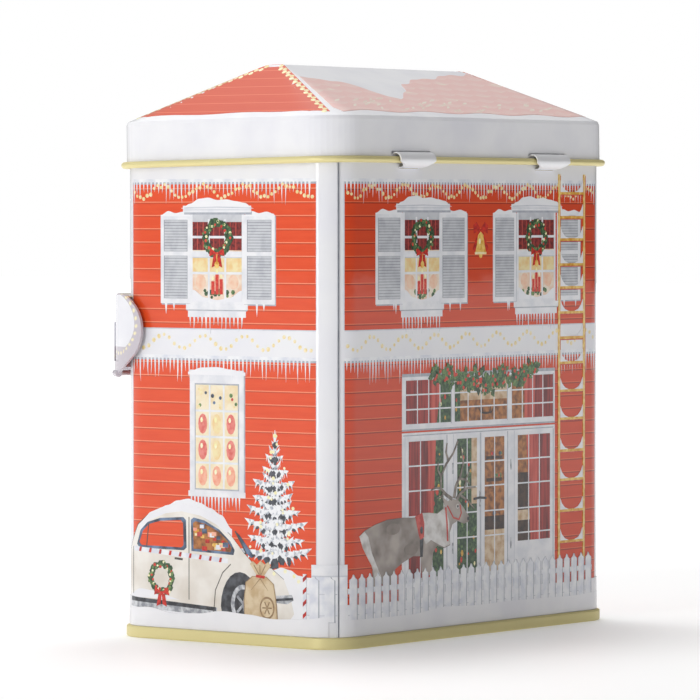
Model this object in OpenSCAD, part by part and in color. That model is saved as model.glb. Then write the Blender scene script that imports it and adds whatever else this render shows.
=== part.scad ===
// Rectangular tinplate cookie tin shaped as a small two-storey house.
// Millimetres, +Z up. The origin is the middle of the footprint, on the surface the tin stands on.
// The porch hood is on the -Y wall, the lid's hinge is along the top of the +Y wall.

/* [Body] */

// Width of the body wall along X
body_w = 134.8; // [110:0.2:165]
// Depth of the body wall along Y
body_d = 79.6; // [64:0.2:98]
// Outside radius of the four upright corners
corner_r = 10; // [7:0.5:13]
// How far the body wall reaches up inside the lid above the hinge line
lid_overlap = 9.4; // [7.8:0.1:9.8]
// Thickness of the tinplate
plate_t = 0.3; // [0.24:0.02:0.4]
// Radius of the hem rolled inwards at the top of the body
hem_r = 0.8; // [0.6:0.05:1]
// Where the upright lock seam lies on its corner, in degrees from +X
seam_deg = 53.7; // [30:0.1:60]
// Width of the lock seam's folded strip
seam_w = 3.6; // [3:0.1:5]

/* [Bottom] */

// Height of the folded seam that joins bottom and wall
ring_h = 3.3; // [2.6:0.1:4]
// How far the bottom seam stands out of the wall
ring_out = 1.2; // [0.9:0.1:1.5]
// Height of the sunk bottom panel above the table
panel_z = 2.1; // [1.5:0.1:2.6]
// Depth of the stiffening step in the bottom panel
panel_step = 0.8; // [0.4:0.1:1]
// Distance of the stiffening step from the wall
panel_step_in = 9; // [6:0.5:14]

/* [Lid] */

// Free gap between the body wall and the lid skirt
lid_gap = 0.65; // [0.62:0.01:0.9]
// Height of the middle of the lid's rolled edge, which is the hinge line
rim_z = 137; // [112:0.2:165]
// Radius of the lid's rolled edge
rim_r = 0.95; // [0.8:0.05:1.1]
// Height of the upright skirt above the hinge line
skirt_h = 11.3; // [10.9:0.1:14]
// Height of the rounded shoulder above the skirt
shoulder_h = 1.5; // [1:0.1:2]
// Height of the roof from shoulder to ridge
roof_h = 15.3; // [11:0.1:20]
// Length of the flat ridge along X
ridge_l = 87; // [70:1:100]
// Width of the flat ridge along Y
ridge_w = 6; // [4:0.5:10]
// How far the closed lid leans down to its front, in degrees
lid_lean = 1; // [0:0.1:1.1]

/* [Hinge] */

// Distance of each hinge tab from the middle
tab_x = 33.3; // [26:0.1:40]
// Width of a hinge tab where it wraps the rolled edge
tab_w = 16.5; // [13:0.5:20]
// Width of a tab's neck where it leaves the wall
tab_neck_w = 9; // [6:0.5:12]
// Thickness of a hinge tab
tab_t = 0.4; // [0.3:0.05:0.5]
// Free radius between the rolled edge and the tab round it
tab_play = 0.85; // [0.7:0.05:0.95]
// Free space at each end of a tab in its slot
slot_side = 0.9; // [0.6:0.1:1.5]
// Height of the foot folded against the inside of the wall
tab_foot_h = 6; // [4:0.5:9]

/* [Porch hood] */

// Height of the hood from its lower lip to its top
hood_h = 23.2; // [21:0.1:27]
// Radius of the hood's rounded ends, seen from the side
hood_end_r = 10.4; // [8.5:0.1:12.4]
// How far the hood reaches out of the front wall
hood_reach = 7.4; // [6.2:0.1:9]
// Height of the hood's lower lip
hood_lip_z = 75.7; // [62:0.1:80]
// How far the hood's ends stand off the side walls
hood_side = 2; // [1.6:0.1:2.6]
// Radius of the hood's corners, seen from above
hood_corner_r = 16.5; // [14:0.5:18.5]
// Radius of the rolled lip
hood_lip_r = 1; // [0.8:0.05:1.2]
// Width of the thickened border round the hood
hood_band_w = 3.6; // [2.5:0.1:4.5]
// How far the border stands out of the hood
hood_band_out = 0.35; // [0.2:0.05:0.5]

/* [Hidden] */

$fn = 96;

front_y = -body_d / 2;
rear_y = body_d / 2;
tiny = 0.01;

body_top = rim_z + lid_overlap;

// lid sizes, counted outwards from the body wall
lid_out = lid_gap + plate_t;
rim_out = lid_gap + rim_r;
pivot_y = rear_y + rim_out;
rim_chord = sqrt(pow(rim_r, 2) - pow(rim_r - plate_t, 2));
skirt_foot = rim_z + rim_chord + 0.02;
skirt_top = rim_z + skirt_h;
shoulder_top = skirt_top + shoulder_h;
ridge_z = shoulder_top + roof_h;

// hinge tab
loop_in = rim_r + tab_play;
loop_out = loop_in + tab_t;
loop_end_deg = 130;
slot_low = rim_r + 0.05;
slot_high = loop_out + 0.3;
neck_z = rim_z - loop_out - 0.2;
slot_in_wall_w = tab_neck_w + 0.2;

// hood, seen from the side: a round end behind, a smaller round nose in front
hood_mid_y = front_y + 1;
hood_top = hood_lip_z + hood_h;
hood_end_z = hood_top - hood_end_r;
hood_nose_r = hood_reach + 1;
hood_nose_z = hood_top - hood_nose_r;
hood_cut_deg = 55;
hood_x = body_w / 2 + hood_side;

red = [0.80, 0.16, 0.09];
white = [0.93, 0.93, 0.93];
gold = [0.80, 0.70, 0.36];

// rounded rectangle, grown outwards by off, from z0 to z1
module block(off, z0, z1) {
    w = body_w + 2 * off;
    d = body_d + 2 * off;
    r = corner_r + off;
    translate([-w / 2 + r, -d / 2, z0]) cube([w - 2 * r, d, z1 - z0]);
    translate([-w / 2, -d / 2 + r, z0]) cube([w, d - 2 * r, z1 - z0]);
    for (sx = [-1, 1], sy = [-1, 1])
        translate([sx * (w / 2 - r), sy * (d / 2 - r), z0]) cylinder(h = z1 - z0, r = r);
}

// carries a flat section round the body: its x is the distance out of the wall, its y is the height
module around() {
    for (m = [0, 1]) mirror([m, 0, 0]) {
        translate([body_w / 2, body_d / 2 - corner_r, 0])
            rotate([90, 0, 0]) linear_extrude(body_d - 2 * corner_r) children();
        for (n = [0, 1]) mirror([0, n, 0])
            translate([body_w / 2 - corner_r, body_d / 2 - corner_r, 0])
                rotate_extrude(angle = 90) translate([corner_r, 0]) children();
    }
    for (n = [0, 1]) mirror([0, n, 0])
        translate([-body_w / 2 + corner_r, body_d / 2, 0])
            rotate([90, 0, 90]) linear_extrude(body_w - 2 * corner_r) children();
}

// one level of the lid's hull: starts off inside the skirt's outside, and draws in by lean going up
module lid_level(off, lean, z, h) {
    r = corner_r + lid_out - off;
    for (sx = [-1, 1], sy = [-1, 1])
        translate([sx * (body_w / 2 - corner_r), sy * (body_d / 2 - corner_r), z])
            cylinder(h = h, r1 = r, r2 = r - lean, $fn = 40);
}

// filled house roof with its skirt, shrunk by off on every side, foot at z0
module lid_solid(off, z0) {
    hull() {
        lid_level(off, 0, z0, skirt_top - off - z0);
        lid_level(off + 0.3 * shoulder_h, 0.7 * shoulder_h, skirt_top + 0.7 * shoulder_h - off, 0.3 * shoulder_h);
        translate([-ridge_l / 2 + off, -ridge_w / 2 + off, skirt_top])
            cube([ridge_l - 2 * off, ridge_w - 2 * off, ridge_z - 1.06 * off - skirt_top]);
    }
}

// leans the lid about its hinge line
module leaned() {
    translate([0, pivot_y, rim_z]) rotate([lid_lean, 0, 0]) translate([0, -pivot_y, -rim_z]) children();
}

module body_wall() {
    color(red) difference() {
        block(0, 0.9, body_top - hem_r);
        block(-plate_t, 0, body_top);
        // shallow line of the lock seam
        translate([body_w / 2 - corner_r, body_d / 2 - corner_r, 0]) rotate([0, 0, seam_deg])
            translate([corner_r - plate_t / 2, -0.18, ring_h]) cube([1, 0.36, body_top]);
        // slots for the necks of the hinge tabs
        for (s = [-1, 1])
            translate([s * tab_x - slot_in_wall_w / 2, rear_y - 1, neck_z - 0.1])
                cube([slot_in_wall_w, 2, tab_t + 0.2]);
    }
}

module side_seam() {
    a = seam_w / corner_r * 57.3;
    color(gold) translate([body_w / 2 - corner_r, body_d / 2 - corner_r, 0])
        rotate([0, 0, seam_deg - a / 2]) rotate_extrude(angle = a)
            translate([corner_r - 3 * plate_t, ring_h]) square([2 * plate_t, body_top - 2 * hem_r - ring_h - 0.3]);
}

// the curl is open below, between its own edge and the wall
module top_hem() {
    color(gold) around() difference() {
        translate([-hem_r, body_top - hem_r]) circle(r = hem_r);
        translate([-hem_r, body_top - 3 * hem_r]) square([2 * hem_r, 2 * hem_r]);
        translate([-hem_r, body_top - hem_r]) circle(r = hem_r - plate_t);
    }
}

module bottom_panel() {
    step = -2 * plate_t - panel_step_in;
    color(gold) union() {
        difference() {
            block(-2 * plate_t, panel_z, panel_z + plate_t);
            block(step, panel_z - 1, panel_z + 1);
        }
        difference() {
            block(step, panel_z - panel_step, panel_z + plate_t);
            block(step - plate_t, panel_z - panel_step + plate_t, panel_z + 1);
        }
    }
}

module bottom_ring() {
    rr = ring_out / 2;
    color(gold) around() {
        union() {
            translate([0, rr]) square([ring_out, ring_h - 2 * rr]);
            translate([rr, ring_h - rr]) circle(r = rr);
            translate([0, ring_h / 2]) square([rr, ring_h / 2]);
            translate([-2 * plate_t, 0]) square([2 * plate_t + rr, rr]);
            translate([rr, rr]) circle(r = rr);
            translate([-2 * plate_t, 0]) square([plate_t, panel_z + plate_t]);
            translate([-2 * plate_t, 0]) square([2 * plate_t, 0.9]);
        }
    }
}

// tab seen from the side: loop round the rolled edge, neck through the wall, foot folded up inside
module hinge_tab(s) {
    color(white) translate([s * tab_x, 0, 0]) {
        intersection() {
            translate([-tab_w / 2, pivot_y, rim_z]) rotate([90, 0, 90]) linear_extrude(tab_w)
                difference() {
                    circle(r = loop_out);
                    circle(r = loop_in);
                    polygon([[0, 0], [8 * cos(loop_end_deg), 8 * sin(loop_end_deg)], [-12, 0], [-12, -12], [0, -12]]);
                }
            // the sheet narrows from the loop's full width to the neck
            translate([0, pivot_y + 10, rim_z]) rotate([90, 0, 0]) linear_extrude(30)
                polygon([[-tab_w / 2, 5], [-tab_w / 2, -0.2 * loop_out], [-tab_neck_w / 2, -loop_out - 0.01],
                         [tab_neck_w / 2, -loop_out - 0.01], [tab_w / 2, -0.2 * loop_out], [tab_w / 2, 5]]);
        }
        translate([-tab_neck_w / 2, rear_y - plate_t - tab_t, neck_z]) union() {
            cube([tab_neck_w, rim_out + plate_t + tab_t, tab_t]);
            cube([tab_neck_w, tab_t, tab_foot_h]);
        }
        translate([-tab_neck_w / 2, pivot_y - tab_t, neck_z]) cube([tab_neck_w, tab_t, 0.2 + tab_t]);
    }
}

module hinge_tab_left() { hinge_tab(-1); }

module hinge_tab_right() { hinge_tab(1); }

// outline of the hood seen from the side, shrunk by off; x is Y, y is Z
module hood_side_view(off) {
    re = hood_end_r - off;
    rn = hood_nose_r - off;
    polygon(concat(
        [for (i = [0 : 12]) let (a = -hood_cut_deg + i * (90 + hood_cut_deg) / 12)
            [hood_mid_y + re * cos(a), hood_end_z + re * sin(a)]],
        [for (i = [1 : 10]) let (a = 90 + i * 9) [hood_mid_y + rn * cos(a), hood_nose_z + rn * sin(a)]],
        [[front_y - hood_reach + off, hood_lip_z + off], [hood_mid_y, hood_lip_z + off]]));
}

// the same outline as a bar across the tin
module hood_bar(off) {
    rotate([90, 0, 90]) linear_extrude(body_w + 20, center = true) hood_side_view(off);
}

// outline of the hood seen from above, shrunk by off
module hood_plan(off) {
    x = hood_x - off;
    y = front_y - hood_reach + off;
    r = hood_corner_r - off;
    z = hood_lip_z - 5;
    h = hood_top - z + 5;
    translate([-x + r, y, z]) cube([2 * (x - r), 30, h]);
    translate([-x, y + r, z]) cube([2 * x, 30, h]);
    for (s = [-1, 1]) translate([s * (x - r), y + r, z]) cylinder(h = h, r = r);
}

// lower lip, rolled under, along the front and round both corners
module hood_lip() {
    a = 60;
    x = hood_x - hood_corner_r;
    y = front_y - hood_reach + hood_corner_r;
    translate([-x, y - hood_corner_r, hood_lip_z]) rotate([0, 90, 0]) cylinder(h = 2 * x, r = hood_lip_r);
    for (m = [0, 1]) mirror([m, 0, 0]) translate([x, y, hood_lip_z])
        rotate([0, 0, -90]) rotate_extrude(angle = a) translate([hood_corner_r, 0]) circle(r = hood_lip_r);
}

module porch_hood() {
    free_y = front_y + 5;
    color(white) union() {
        difference() {
            intersection() { hood_bar(0); hood_plan(0); }
            intersection() {
                hood_plan(plate_t);
                union() {
                    hood_bar(plate_t);
                    translate([-body_w, free_y, hood_lip_z - 6]) cube([2 * body_w, 60, 60]);
                    translate([-body_w, front_y - 30, hood_lip_z - 6]) cube([2 * body_w, 60, 7]);
                    rotate([90, 0, 90]) linear_extrude(body_w + 20, center = true) polygon([
                        [hood_mid_y, hood_lip_z + 2], [free_y + 5, hood_lip_z + 2],
                        [free_y + 5, hood_end_z], [hood_mid_y, hood_end_z]]);
                }
            }
            block(0, 0, body_top);
        }
        // thickened border
        difference() {
            intersection() { hood_bar(0); hood_plan(-hood_band_out); }
            hood_bar(hood_band_w);
            hood_plan(plate_t + hood_band_out);
            translate([-body_w, front_y - 30, hood_nose_z]) cube([2 * body_w, 30.5, 30]);
            block(0, 0, body_top);
        }
        hood_lip();
    }
}

module lid_shell() {
    color(white) leaned() difference() {
        lid_solid(0, skirt_foot);
        lid_solid(plate_t, rim_z - 1);
        for (s = [-1, 1])
            translate([s * tab_x - tab_w / 2 - slot_side, rear_y, rim_z + slot_low])
                cube([tab_w + 2 * slot_side, 5, slot_high - slot_low]);
    }
}

module lid_rolled_edge() {
    color(gold) leaned() around() translate([rim_out, rim_z]) circle(r = rim_r);
}

body_wall();
side_seam();
top_hem();
bottom_panel();
bottom_ring();
hinge_tab_left();
hinge_tab_right();
porch_hood();
lid_shell();
lid_rolled_edge();
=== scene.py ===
"""A hinged tinplate cookie tin shaped as a small winter house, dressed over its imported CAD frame."""

from __future__ import annotations

import logging
import math
import random
from dataclasses import dataclass, field
from enum import Enum, IntEnum, auto
from typing import Iterable, Sequence

import bmesh
import bpy
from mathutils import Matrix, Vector
from mathutils.bvhtree import BVHTree


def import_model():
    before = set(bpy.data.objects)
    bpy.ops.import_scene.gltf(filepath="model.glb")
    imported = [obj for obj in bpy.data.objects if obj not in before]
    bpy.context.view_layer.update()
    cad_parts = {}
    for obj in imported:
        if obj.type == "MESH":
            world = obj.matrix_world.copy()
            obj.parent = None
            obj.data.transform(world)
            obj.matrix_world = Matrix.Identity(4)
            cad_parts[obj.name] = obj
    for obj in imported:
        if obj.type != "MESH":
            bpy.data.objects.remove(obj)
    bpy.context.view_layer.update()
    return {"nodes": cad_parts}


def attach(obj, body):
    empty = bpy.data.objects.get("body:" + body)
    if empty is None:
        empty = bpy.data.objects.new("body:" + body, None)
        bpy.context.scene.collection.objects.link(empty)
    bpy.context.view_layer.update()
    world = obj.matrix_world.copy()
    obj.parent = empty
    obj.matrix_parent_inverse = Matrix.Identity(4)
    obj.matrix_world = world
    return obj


LOG = logging.getLogger("tin_scene")
MM = 0.001
BODY = "tin_body"
LID = "lid"
# Shapes of one layer lie at this many different heights, so that the tops of neighbours never meet.
STEPS_PER_LAYER = 17
# A sheet is cut at this many even steps where it bends round a corner of the tin.
FOLDS_PER_CORNER = 24
# A face counts as crossed by a fold when it reaches this far past it on both sides, in millimetres.
FOLD_REACH = 1e-4
# Edges that turn by less than this are shaded smooth, in radians.
SHARP_EDGE = 0.6
FULL_TURN = 2 * math.pi

Point = tuple[float, float]  # along the wall and up, in millimetres
Colour = tuple[float, float, float, float]
Place = tuple[float, float, float]
Socket = bpy.types.NodeSocket


class Wall(IntEnum):
    """The four walls, anticlockwise seen from above."""

    RIGHT = 0
    REAR = 1
    LEFT = 2
    FRONT = 3


class Room(Enum):
    """What shows behind one of the glazed garden lights."""

    CURTAIN_AND_FIR = auto()
    CHANDELIER = auto()
    CURTAINS = auto()
    TWO_FIRS = auto()
    SHELVES = auto()
    HEARTH = auto()


# ---------------------------------------------------------------- materials


def srgb(text: str) -> Colour:
    """Turns an sRGB hex value into a linear colour.

    Args:
        text: Six hex digits, such as "D93A1E".

    Returns:
        Linear red, green and blue, and an alpha of 1.
    """
    parts = [int(text[i : i + 2], 16) / 255 for i in (0, 2, 4)]
    line = [c / 12.92 if c <= 0.04045 else ((c + 0.055) / 1.055) ** 2.4 for c in parts]
    return (line[0], line[1], line[2], 1.0)


def add(tree: bpy.types.NodeTree, kind: str, links: dict | None = None, **settings: object) -> bpy.types.Node:
    """Adds one node with its settings and links.

    Args:
        tree: The node tree that gets the node.
        kind: The node's type, such as "ShaderNodeMath".
        links: Input name or number to an output socket, or to a plain value.
        **settings: Properties of the node, such as operation="ADD".

    Returns:
        The new node.
    """
    made = tree.nodes.new(kind)
    for name, value in settings.items():
        setattr(made, name, value)
    for key, value in (links or {}).items():
        if isinstance(value, bpy.types.NodeSocket):
            tree.links.new(value, made.inputs[key])
        else:
            made.inputs[key].default_value = value
    return made


def maths(tree: bpy.types.NodeTree, operation: str, *values: object) -> Socket:
    """Adds a Math node and returns its output.

    Args:
        tree: The node tree.
        operation: The Math node's operation.
        *values: Its inputs in order, each a socket or a number.

    Returns:
        The output socket.
    """
    return add(tree, "ShaderNodeMath", dict(enumerate(values)), operation=operation).outputs[0]


def blend(tree: bpy.types.NodeTree, share: object, low: object, high: object) -> Socket:
    """Mixes two colours.

    Args:
        tree: The node tree.
        share: Socket or number, 0 for low and 1 for high.
        low: Colour or socket at 0.
        high: Colour or socket at 1.

    Returns:
        The mixed colour's socket.
    """
    made = add(tree, "ShaderNodeMix", {0: share, 6: low, 7: high}, data_type="RGBA")
    return made.outputs[2]


def noise(tree: bpy.types.NodeTree, place: Socket, size_mm: float, detail: float = 3.0) -> Socket:
    """Adds a soft noise whose patches are about as wide as the given size, and returns its output."""
    settings = {"Vector": place, "Scale": 1 / (size_mm * MM), "Detail": detail}
    return add(tree, "ShaderNodeTexNoise", settings).outputs[0]


def span(tree: bpy.types.NodeTree, value: Socket, *limits: object) -> Socket:
    """Maps a value from one range to another.

    Args:
        tree: The node tree.
        value: The socket that is mapped.
        *limits: Its low and high end, then the low and high end it is mapped to (0 and 1 when left out).

    Returns:
        The mapped value's socket.
    """
    return add(tree, "ShaderNodeMapRange", {0: value, **dict(enumerate(limits, 1))}).outputs[0]


def moved(points: Iterable[Point], s: float, z: float) -> list[Point]:
    """Gives an outline shifted by s along the wall and by z upwards."""
    return [(s + along, z + up) for along, up in points]


@dataclass(frozen=True)
class Lacquer:
    """Printed or plain tinplate under a baked clear lacquer.

    The ink gives the colour, and the lacquer lies over it as a thin glossy coat with faint ripples.
    """

    name: str
    ink: str
    roughness: float = 0.5
    coat: float = 0.7
    specular: float = 0.25
    coat_roughness: float = 0.05
    metallic: float = 0.0
    ripple_mm: float = 9.0
    ripple: float = 0.03

    def paint(self, tree: bpy.types.NodeTree, place: Socket) -> Socket | None:
        """Gives the colour's socket, or None where one ink covers the whole piece.

        Args:
            tree: The material's node tree.
            place: Object coordinates in metres.

        Returns:
            A colour socket or None.
        """
        return None

    def build(self) -> bpy.types.Material:
        """Makes the material, once per name."""
        made = bpy.data.materials.get(self.name)
        if made:
            return made
        made = bpy.data.materials.new(self.name)
        made.use_nodes = True
        tree = made.node_tree
        shader = tree.nodes["Principled BSDF"]
        shader.inputs["Base Color"].default_value = srgb(self.ink)
        shader.inputs["Roughness"].default_value = self.roughness
        shader.inputs["Metallic"].default_value = self.metallic
        shader.inputs["Specular IOR Level"].default_value = self.specular
        shader.inputs["Coat Weight"].default_value = self.coat
        shader.inputs["Coat Roughness"].default_value = self.coat_roughness
        place = add(tree, "ShaderNodeTexCoord").outputs["Object"]
        colour = self.paint(tree, place)
        if colour is not None:
            tree.links.new(colour, shader.inputs["Base Color"])
        if self.ripple:
            height = noise(tree, place, self.ripple_mm, 2.0)
            bump = add(tree, "ShaderNodeBump", {"Height": height, "Strength": self.ripple, "Distance": MM})
            tree.links.new(bump.outputs[0], shader.inputs["Coat Normal"])
            tree.links.new(bump.outputs[0], shader.inputs["Normal"])
        return made


@dataclass(frozen=True)
class BoardLacquer(Lacquer):
    """Red house boards on tinplate: long soft streaks, with a dark and a light line under each board."""

    pitch_mm: float = 3.8
    first_mm: float = 0.8
    second: str = "EA5420"
    dark: str = "8A1F0C"
    light: str = "F08A5E"
    dark_to: float = 0.085
    light_to: float = 0.15
    dark_share: float = 0.8
    light_share: float = 0.55

    def paint(self, tree: bpy.types.NodeTree, place: Socket) -> Socket | None:
        """Draws the boards from the height above the table."""
        z = add(tree, "ShaderNodeSeparateXYZ", {0: place}).outputs[2]
        step = maths(tree, "MULTIPLY_ADD", z, 1 / (self.pitch_mm * MM), self.first_mm / self.pitch_mm)
        part = maths(tree, "FRACT", step)
        stretched = add(tree, "ShaderNodeMapping", {0: place, "Scale": (90.0, 90.0, 900.0)}).outputs[0]
        grain = noise(tree, stretched, 1 / MM, 4.0)
        red = blend(tree, grain, srgb(self.ink), srgb(self.second))
        dark_line = maths(tree, "LESS_THAN", part, self.dark_to)
        above = maths(tree, "GREATER_THAN", part, self.dark_to)
        light_line = maths(tree, "MULTIPLY", above, maths(tree, "LESS_THAN", part, self.light_to))
        red = blend(tree, maths(tree, "MULTIPLY", dark_line, self.dark_share), red, srgb(self.dark))
        return blend(tree, maths(tree, "MULTIPLY", light_line, self.light_share), red, srgb(self.light))


@dataclass(frozen=True)
class SnowLacquer(Lacquer):
    """Printed snow: nearly white, with faint blue hollows a few millimetres across."""

    shade: str = "E7E7ED"
    patch_mm: float = 16.0
    clear_below: float = 0.42
    shaded_above: float = 0.7

    def paint(self, tree: bpy.types.NodeTree, place: Socket) -> Socket | None:
        """Clouds the white with a soft noise."""
        share = span(tree, noise(tree, place, self.patch_mm), self.clear_below, self.shaded_above)
        return blend(tree, share, srgb(self.ink), srgb(self.shade))


@dataclass(frozen=True)
class WallLacquer(SnowLacquer):
    """White printed outside and gold lacquered inside, told apart by the distance to the wall's outside."""

    gold: str = "C9B25C"
    half_w: float = 0.0674
    half_d: float = 0.0398
    radius: float = 0.010
    skin: float = 0.00015

    def paint(self, tree: bpy.types.NodeTree, place: Socket) -> Socket | None:
        """Mixes gold in wherever the point lies behind the outer skin."""
        outside = super().paint(tree, place)
        axes = add(tree, "ShaderNodeSeparateXYZ", {0: place}).outputs
        reach = []
        for axis, half in ((0, self.half_w), (1, self.half_d)):
            past = maths(tree, "SUBTRACT", maths(tree, "ABSOLUTE", axes[axis]), half - self.radius)
            reach.append(maths(tree, "POWER", maths(tree, "MAXIMUM", past, 0.0), 2.0))
        away = maths(tree, "SQRT", maths(tree, "ADD", reach[0], reach[1]))
        inside = maths(tree, "LESS_THAN", away, self.radius - self.skin)
        return blend(tree, inside, outside, srgb(self.gold))


@dataclass(frozen=True)
class Ink(Lacquer):
    """A printed ink that a second ink clouds, so that its tone varies over a few millimetres."""

    second: str = "FFFFFF"
    patch_mm: float = 3.0
    low: float = 0.4
    high: float = 0.65
    stretch: Place = (1.0, 1.0, 1.0)
    ripple: float = 0.0

    def paint(self, tree: bpy.types.NodeTree, place: Socket) -> Socket | None:
        """Mixes the two inks with a soft noise."""
        place = add(tree, "ShaderNodeMapping", {0: place, "Scale": self.stretch}).outputs[0]
        share = span(tree, noise(tree, place, self.patch_mm), self.low, self.high)
        return blend(tree, share, srgb(self.ink), srgb(self.second))


@dataclass(frozen=True)
class ShingleLacquer(Lacquer):
    """Dusty pink roof tiles: staggered rounded tiles with a paler lower lip and cream streaks between."""

    tile_mm: float = 9.0
    row_mm: float = 4.4
    rounding: float = 0.35
    lip_share: float = 0.7
    lip: str = "F0D6CF"
    streak: str = "F1E6D6"

    def paint(self, tree: bpy.types.NodeTree, place: Socket) -> Socket | None:
        """Draws the rows from the distance to the ridge, and staggers each second row."""
        axes = add(tree, "ShaderNodeSeparateXYZ", {0: place}).outputs
        row = maths(tree, "MULTIPLY", maths(tree, "ABSOLUTE", axes[1]), 1 / (self.row_mm * MM))
        odd = maths(tree, "MULTIPLY", maths(tree, "MODULO", maths(tree, "FLOOR", row), 2.0), 0.5)
        along = maths(tree, "MULTIPLY_ADD", axes[0], 1 / (self.tile_mm * MM), odd)
        bow = maths(tree, "SINE", maths(tree, "MULTIPLY", maths(tree, "FRACT", along), math.pi))
        drop = maths(tree, "FRACT", maths(tree, "SUBTRACT", row, maths(tree, "MULTIPLY", bow, self.rounding)))
        edge = span(tree, drop, 0.45, 0.98)
        tile = blend(tree, maths(tree, "MULTIPLY", edge, self.lip_share), srgb(self.ink), srgb(self.lip))
        wide = add(tree, "ShaderNodeMapping", {0: place, "Scale": (90.0, 260.0, 1.0)}).outputs[0]
        share = span(tree, noise(tree, wide, 1 / MM, 2.0), 0.58, 0.68)
        return blend(tree, maths(tree, "MULTIPLY", share, edge), tile, srgb(self.streak))


@dataclass(frozen=True)
class FasciaLacquer(SnowLacquer):
    """The porch hood's print: snow above, and a lavender-grey edge with a row of warm lights along it."""

    edge: str = "C6BFC7"
    light: str = "F3E9BE"
    centre_y: float = -0.0388
    centre_z: float = 0.0885
    end_radius: float = 0.0104
    band: float = 0.0042
    front_z: float = 0.0835
    pitch: float = 0.0021
    dot: float = 0.0007
    round_from: float = 0.003
    dots_inside: float = 0.0007
    dots_below: float = 0.0028

    def paint(self, tree: bpy.types.NodeTree, place: Socket) -> Socket | None:
        """Finds the edge from the distance to the round end's centre, and from the height in front."""
        snow = super().paint(tree, place)
        axes = add(tree, "ShaderNodeSeparateXYZ", {0: place}).outputs
        back = maths(tree, "SUBTRACT", axes[1], self.centre_y)
        rise = maths(tree, "SUBTRACT", axes[2], self.centre_z)
        square = maths(tree, "ADD", maths(tree, "POWER", back, 2.0), maths(tree, "POWER", rise, 2.0))
        away = maths(tree, "SQRT", square)
        rear = maths(tree, "GREATER_THAN", axes[1], self.centre_y - self.round_from)
        angle = maths(tree, "ARCTAN2", rise, back)
        wide = span(tree, angle, 1.4, -0.8, 0.0004, self.band)
        inner = maths(tree, "SUBTRACT", self.end_radius, wide)
        round_edge = maths(tree, "MULTIPLY", rear, maths(tree, "GREATER_THAN", away, inner))
        front_edge = maths(tree, "LESS_THAN", axes[2], self.front_z)
        edge = maths(tree, "MAXIMUM", round_edge, front_edge)
        round_run = maths(tree, "MULTIPLY", angle, self.end_radius - 0.5 * self.band)
        run = add(tree, "ShaderNodeMix", {0: rear, 2: axes[0], 3: round_run}).outputs[0]
        off_round = maths(tree, "SUBTRACT", away, maths(tree, "ADD", inner, self.dots_inside))
        off_front = maths(tree, "SUBTRACT", axes[2], self.front_z - self.dots_below)
        off = add(tree, "ShaderNodeMix", {0: rear, 2: off_front, 3: off_round}).outputs[0]
        step = maths(tree, "SUBTRACT", maths(tree, "FRACT", maths(tree, "DIVIDE", run, self.pitch)), 0.5)
        step = maths(tree, "POWER", maths(tree, "MULTIPLY", step, self.pitch), 2.0)
        near = maths(tree, "SQRT", maths(tree, "ADD", step, maths(tree, "POWER", off, 2.0)))
        glow = span(tree, near, self.dot, self.dot * 0.4)
        banded = blend(tree, edge, snow, srgb(self.edge))
        return blend(tree, maths(tree, "MULTIPLY", glow, edge), banded, srgb(self.light))


WHITE = Ink("white_lacquered_tinplate", "EAEAEE", second="E0E0E6", patch_mm=5.0, ripple=0.02)
WALL = WallLacquer("printed_wall_tinplate", "ECECEF", ripple=0.02)
GOLD = Ink(
    "gold_lacquered_tinplate", "B2A360", second="A39452", patch_mm=6.0, ripple=0.03,
    roughness=0.34, metallic=0.65, coat_roughness=0.12,
)
BOARDS = BoardLacquer("red_board_print", "CE3A0E", second="DA4818")
SUNNY_BOARDS = BoardLacquer("sunlit_board_print", "DC4010", dark="C04322", light="FFB690")
SNOW = SnowLacquer("snow_print", "F0F0F3")
HOOD = FasciaLacquer("porch_hood_print", "EDEDF1")
TILES = ShingleLacquer("roof_tile_print", "EFC6C0")
ROOF_RED = BoardLacquer(
    "roof_board_print", "CE4420", second="D4522A", pitch_mm=2.4, dark="CF4724", light="F08C64"
)
FRAME = Ink("white_paint_print", "EEEEF1", second="DDDFE5", patch_mm=5.0)
FENCE = Ink("fence_paint_print", "F0F1F4", second="D9DCE6", patch_mm=4.0)
SHADE = Ink("grey_shadow_print", "B4B7C0", second="A3A7B2", patch_mm=2.0)
FAINT = Ink("pale_shadow_print", "D3D5DC", second="C6C9D2", patch_mm=3.0)
SLAT = Ink("louvre_print", "CDCFD4", second="BDBFC6", patch_mm=3.0)
SLAT_GAP = Ink("louvre_gap_print", "9C9FA7", second="8D9099", patch_mm=3.0)
GLOW = Ink("warm_window_print", "EFE3D3", second="E8BFA2", patch_mm=3.4)
GLOW_YELLOW = Ink("yellow_window_print", "F0E0AE", second="ECC98C", patch_mm=2.4)
STREAK = Ink("cream_tile_print", "F0E6D8", second="E6CFC2", patch_mm=3.0)
CREAM = Ink("cream_window_print", "F3E7CB", second="EDD8AE", patch_mm=3.0)
PEACH = Ink("peach_ball_print", "F3B79B", second="EE967E", patch_mm=1.6)
PEACH_LIGHT = Ink("peach_light_print", "F0CFB6", second="EDBD9F", patch_mm=1.6)
PINK = Ink("pink_ball_print", "E78B80", second="DB6259", patch_mm=1.6)
PLAID = Ink("plaid_curtain_print", "8E2B28", second="571A1D", patch_mm=0.8)
DRAPE = Ink("light_curtain_print", "CF5A4C", second="A8312C", patch_mm=0.9, stretch=(1.0, 1.0, 0.06))
CURTAIN = Ink("red_curtain_print", "A8322E", second="641A1C", patch_mm=0.9, stretch=(1.0, 1.0, 0.06))
ROOM = Ink("warm_room_print", "B8763A", second="70401F", patch_mm=1.8)
ROOM_PALE = Ink("pale_room_print", "DCC7AA", second="BE9A74", patch_mm=2.5)
ROOM_DARK = Ink("dark_room_print", "4A3226", second="2C1D1A", patch_mm=1.5)
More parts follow.
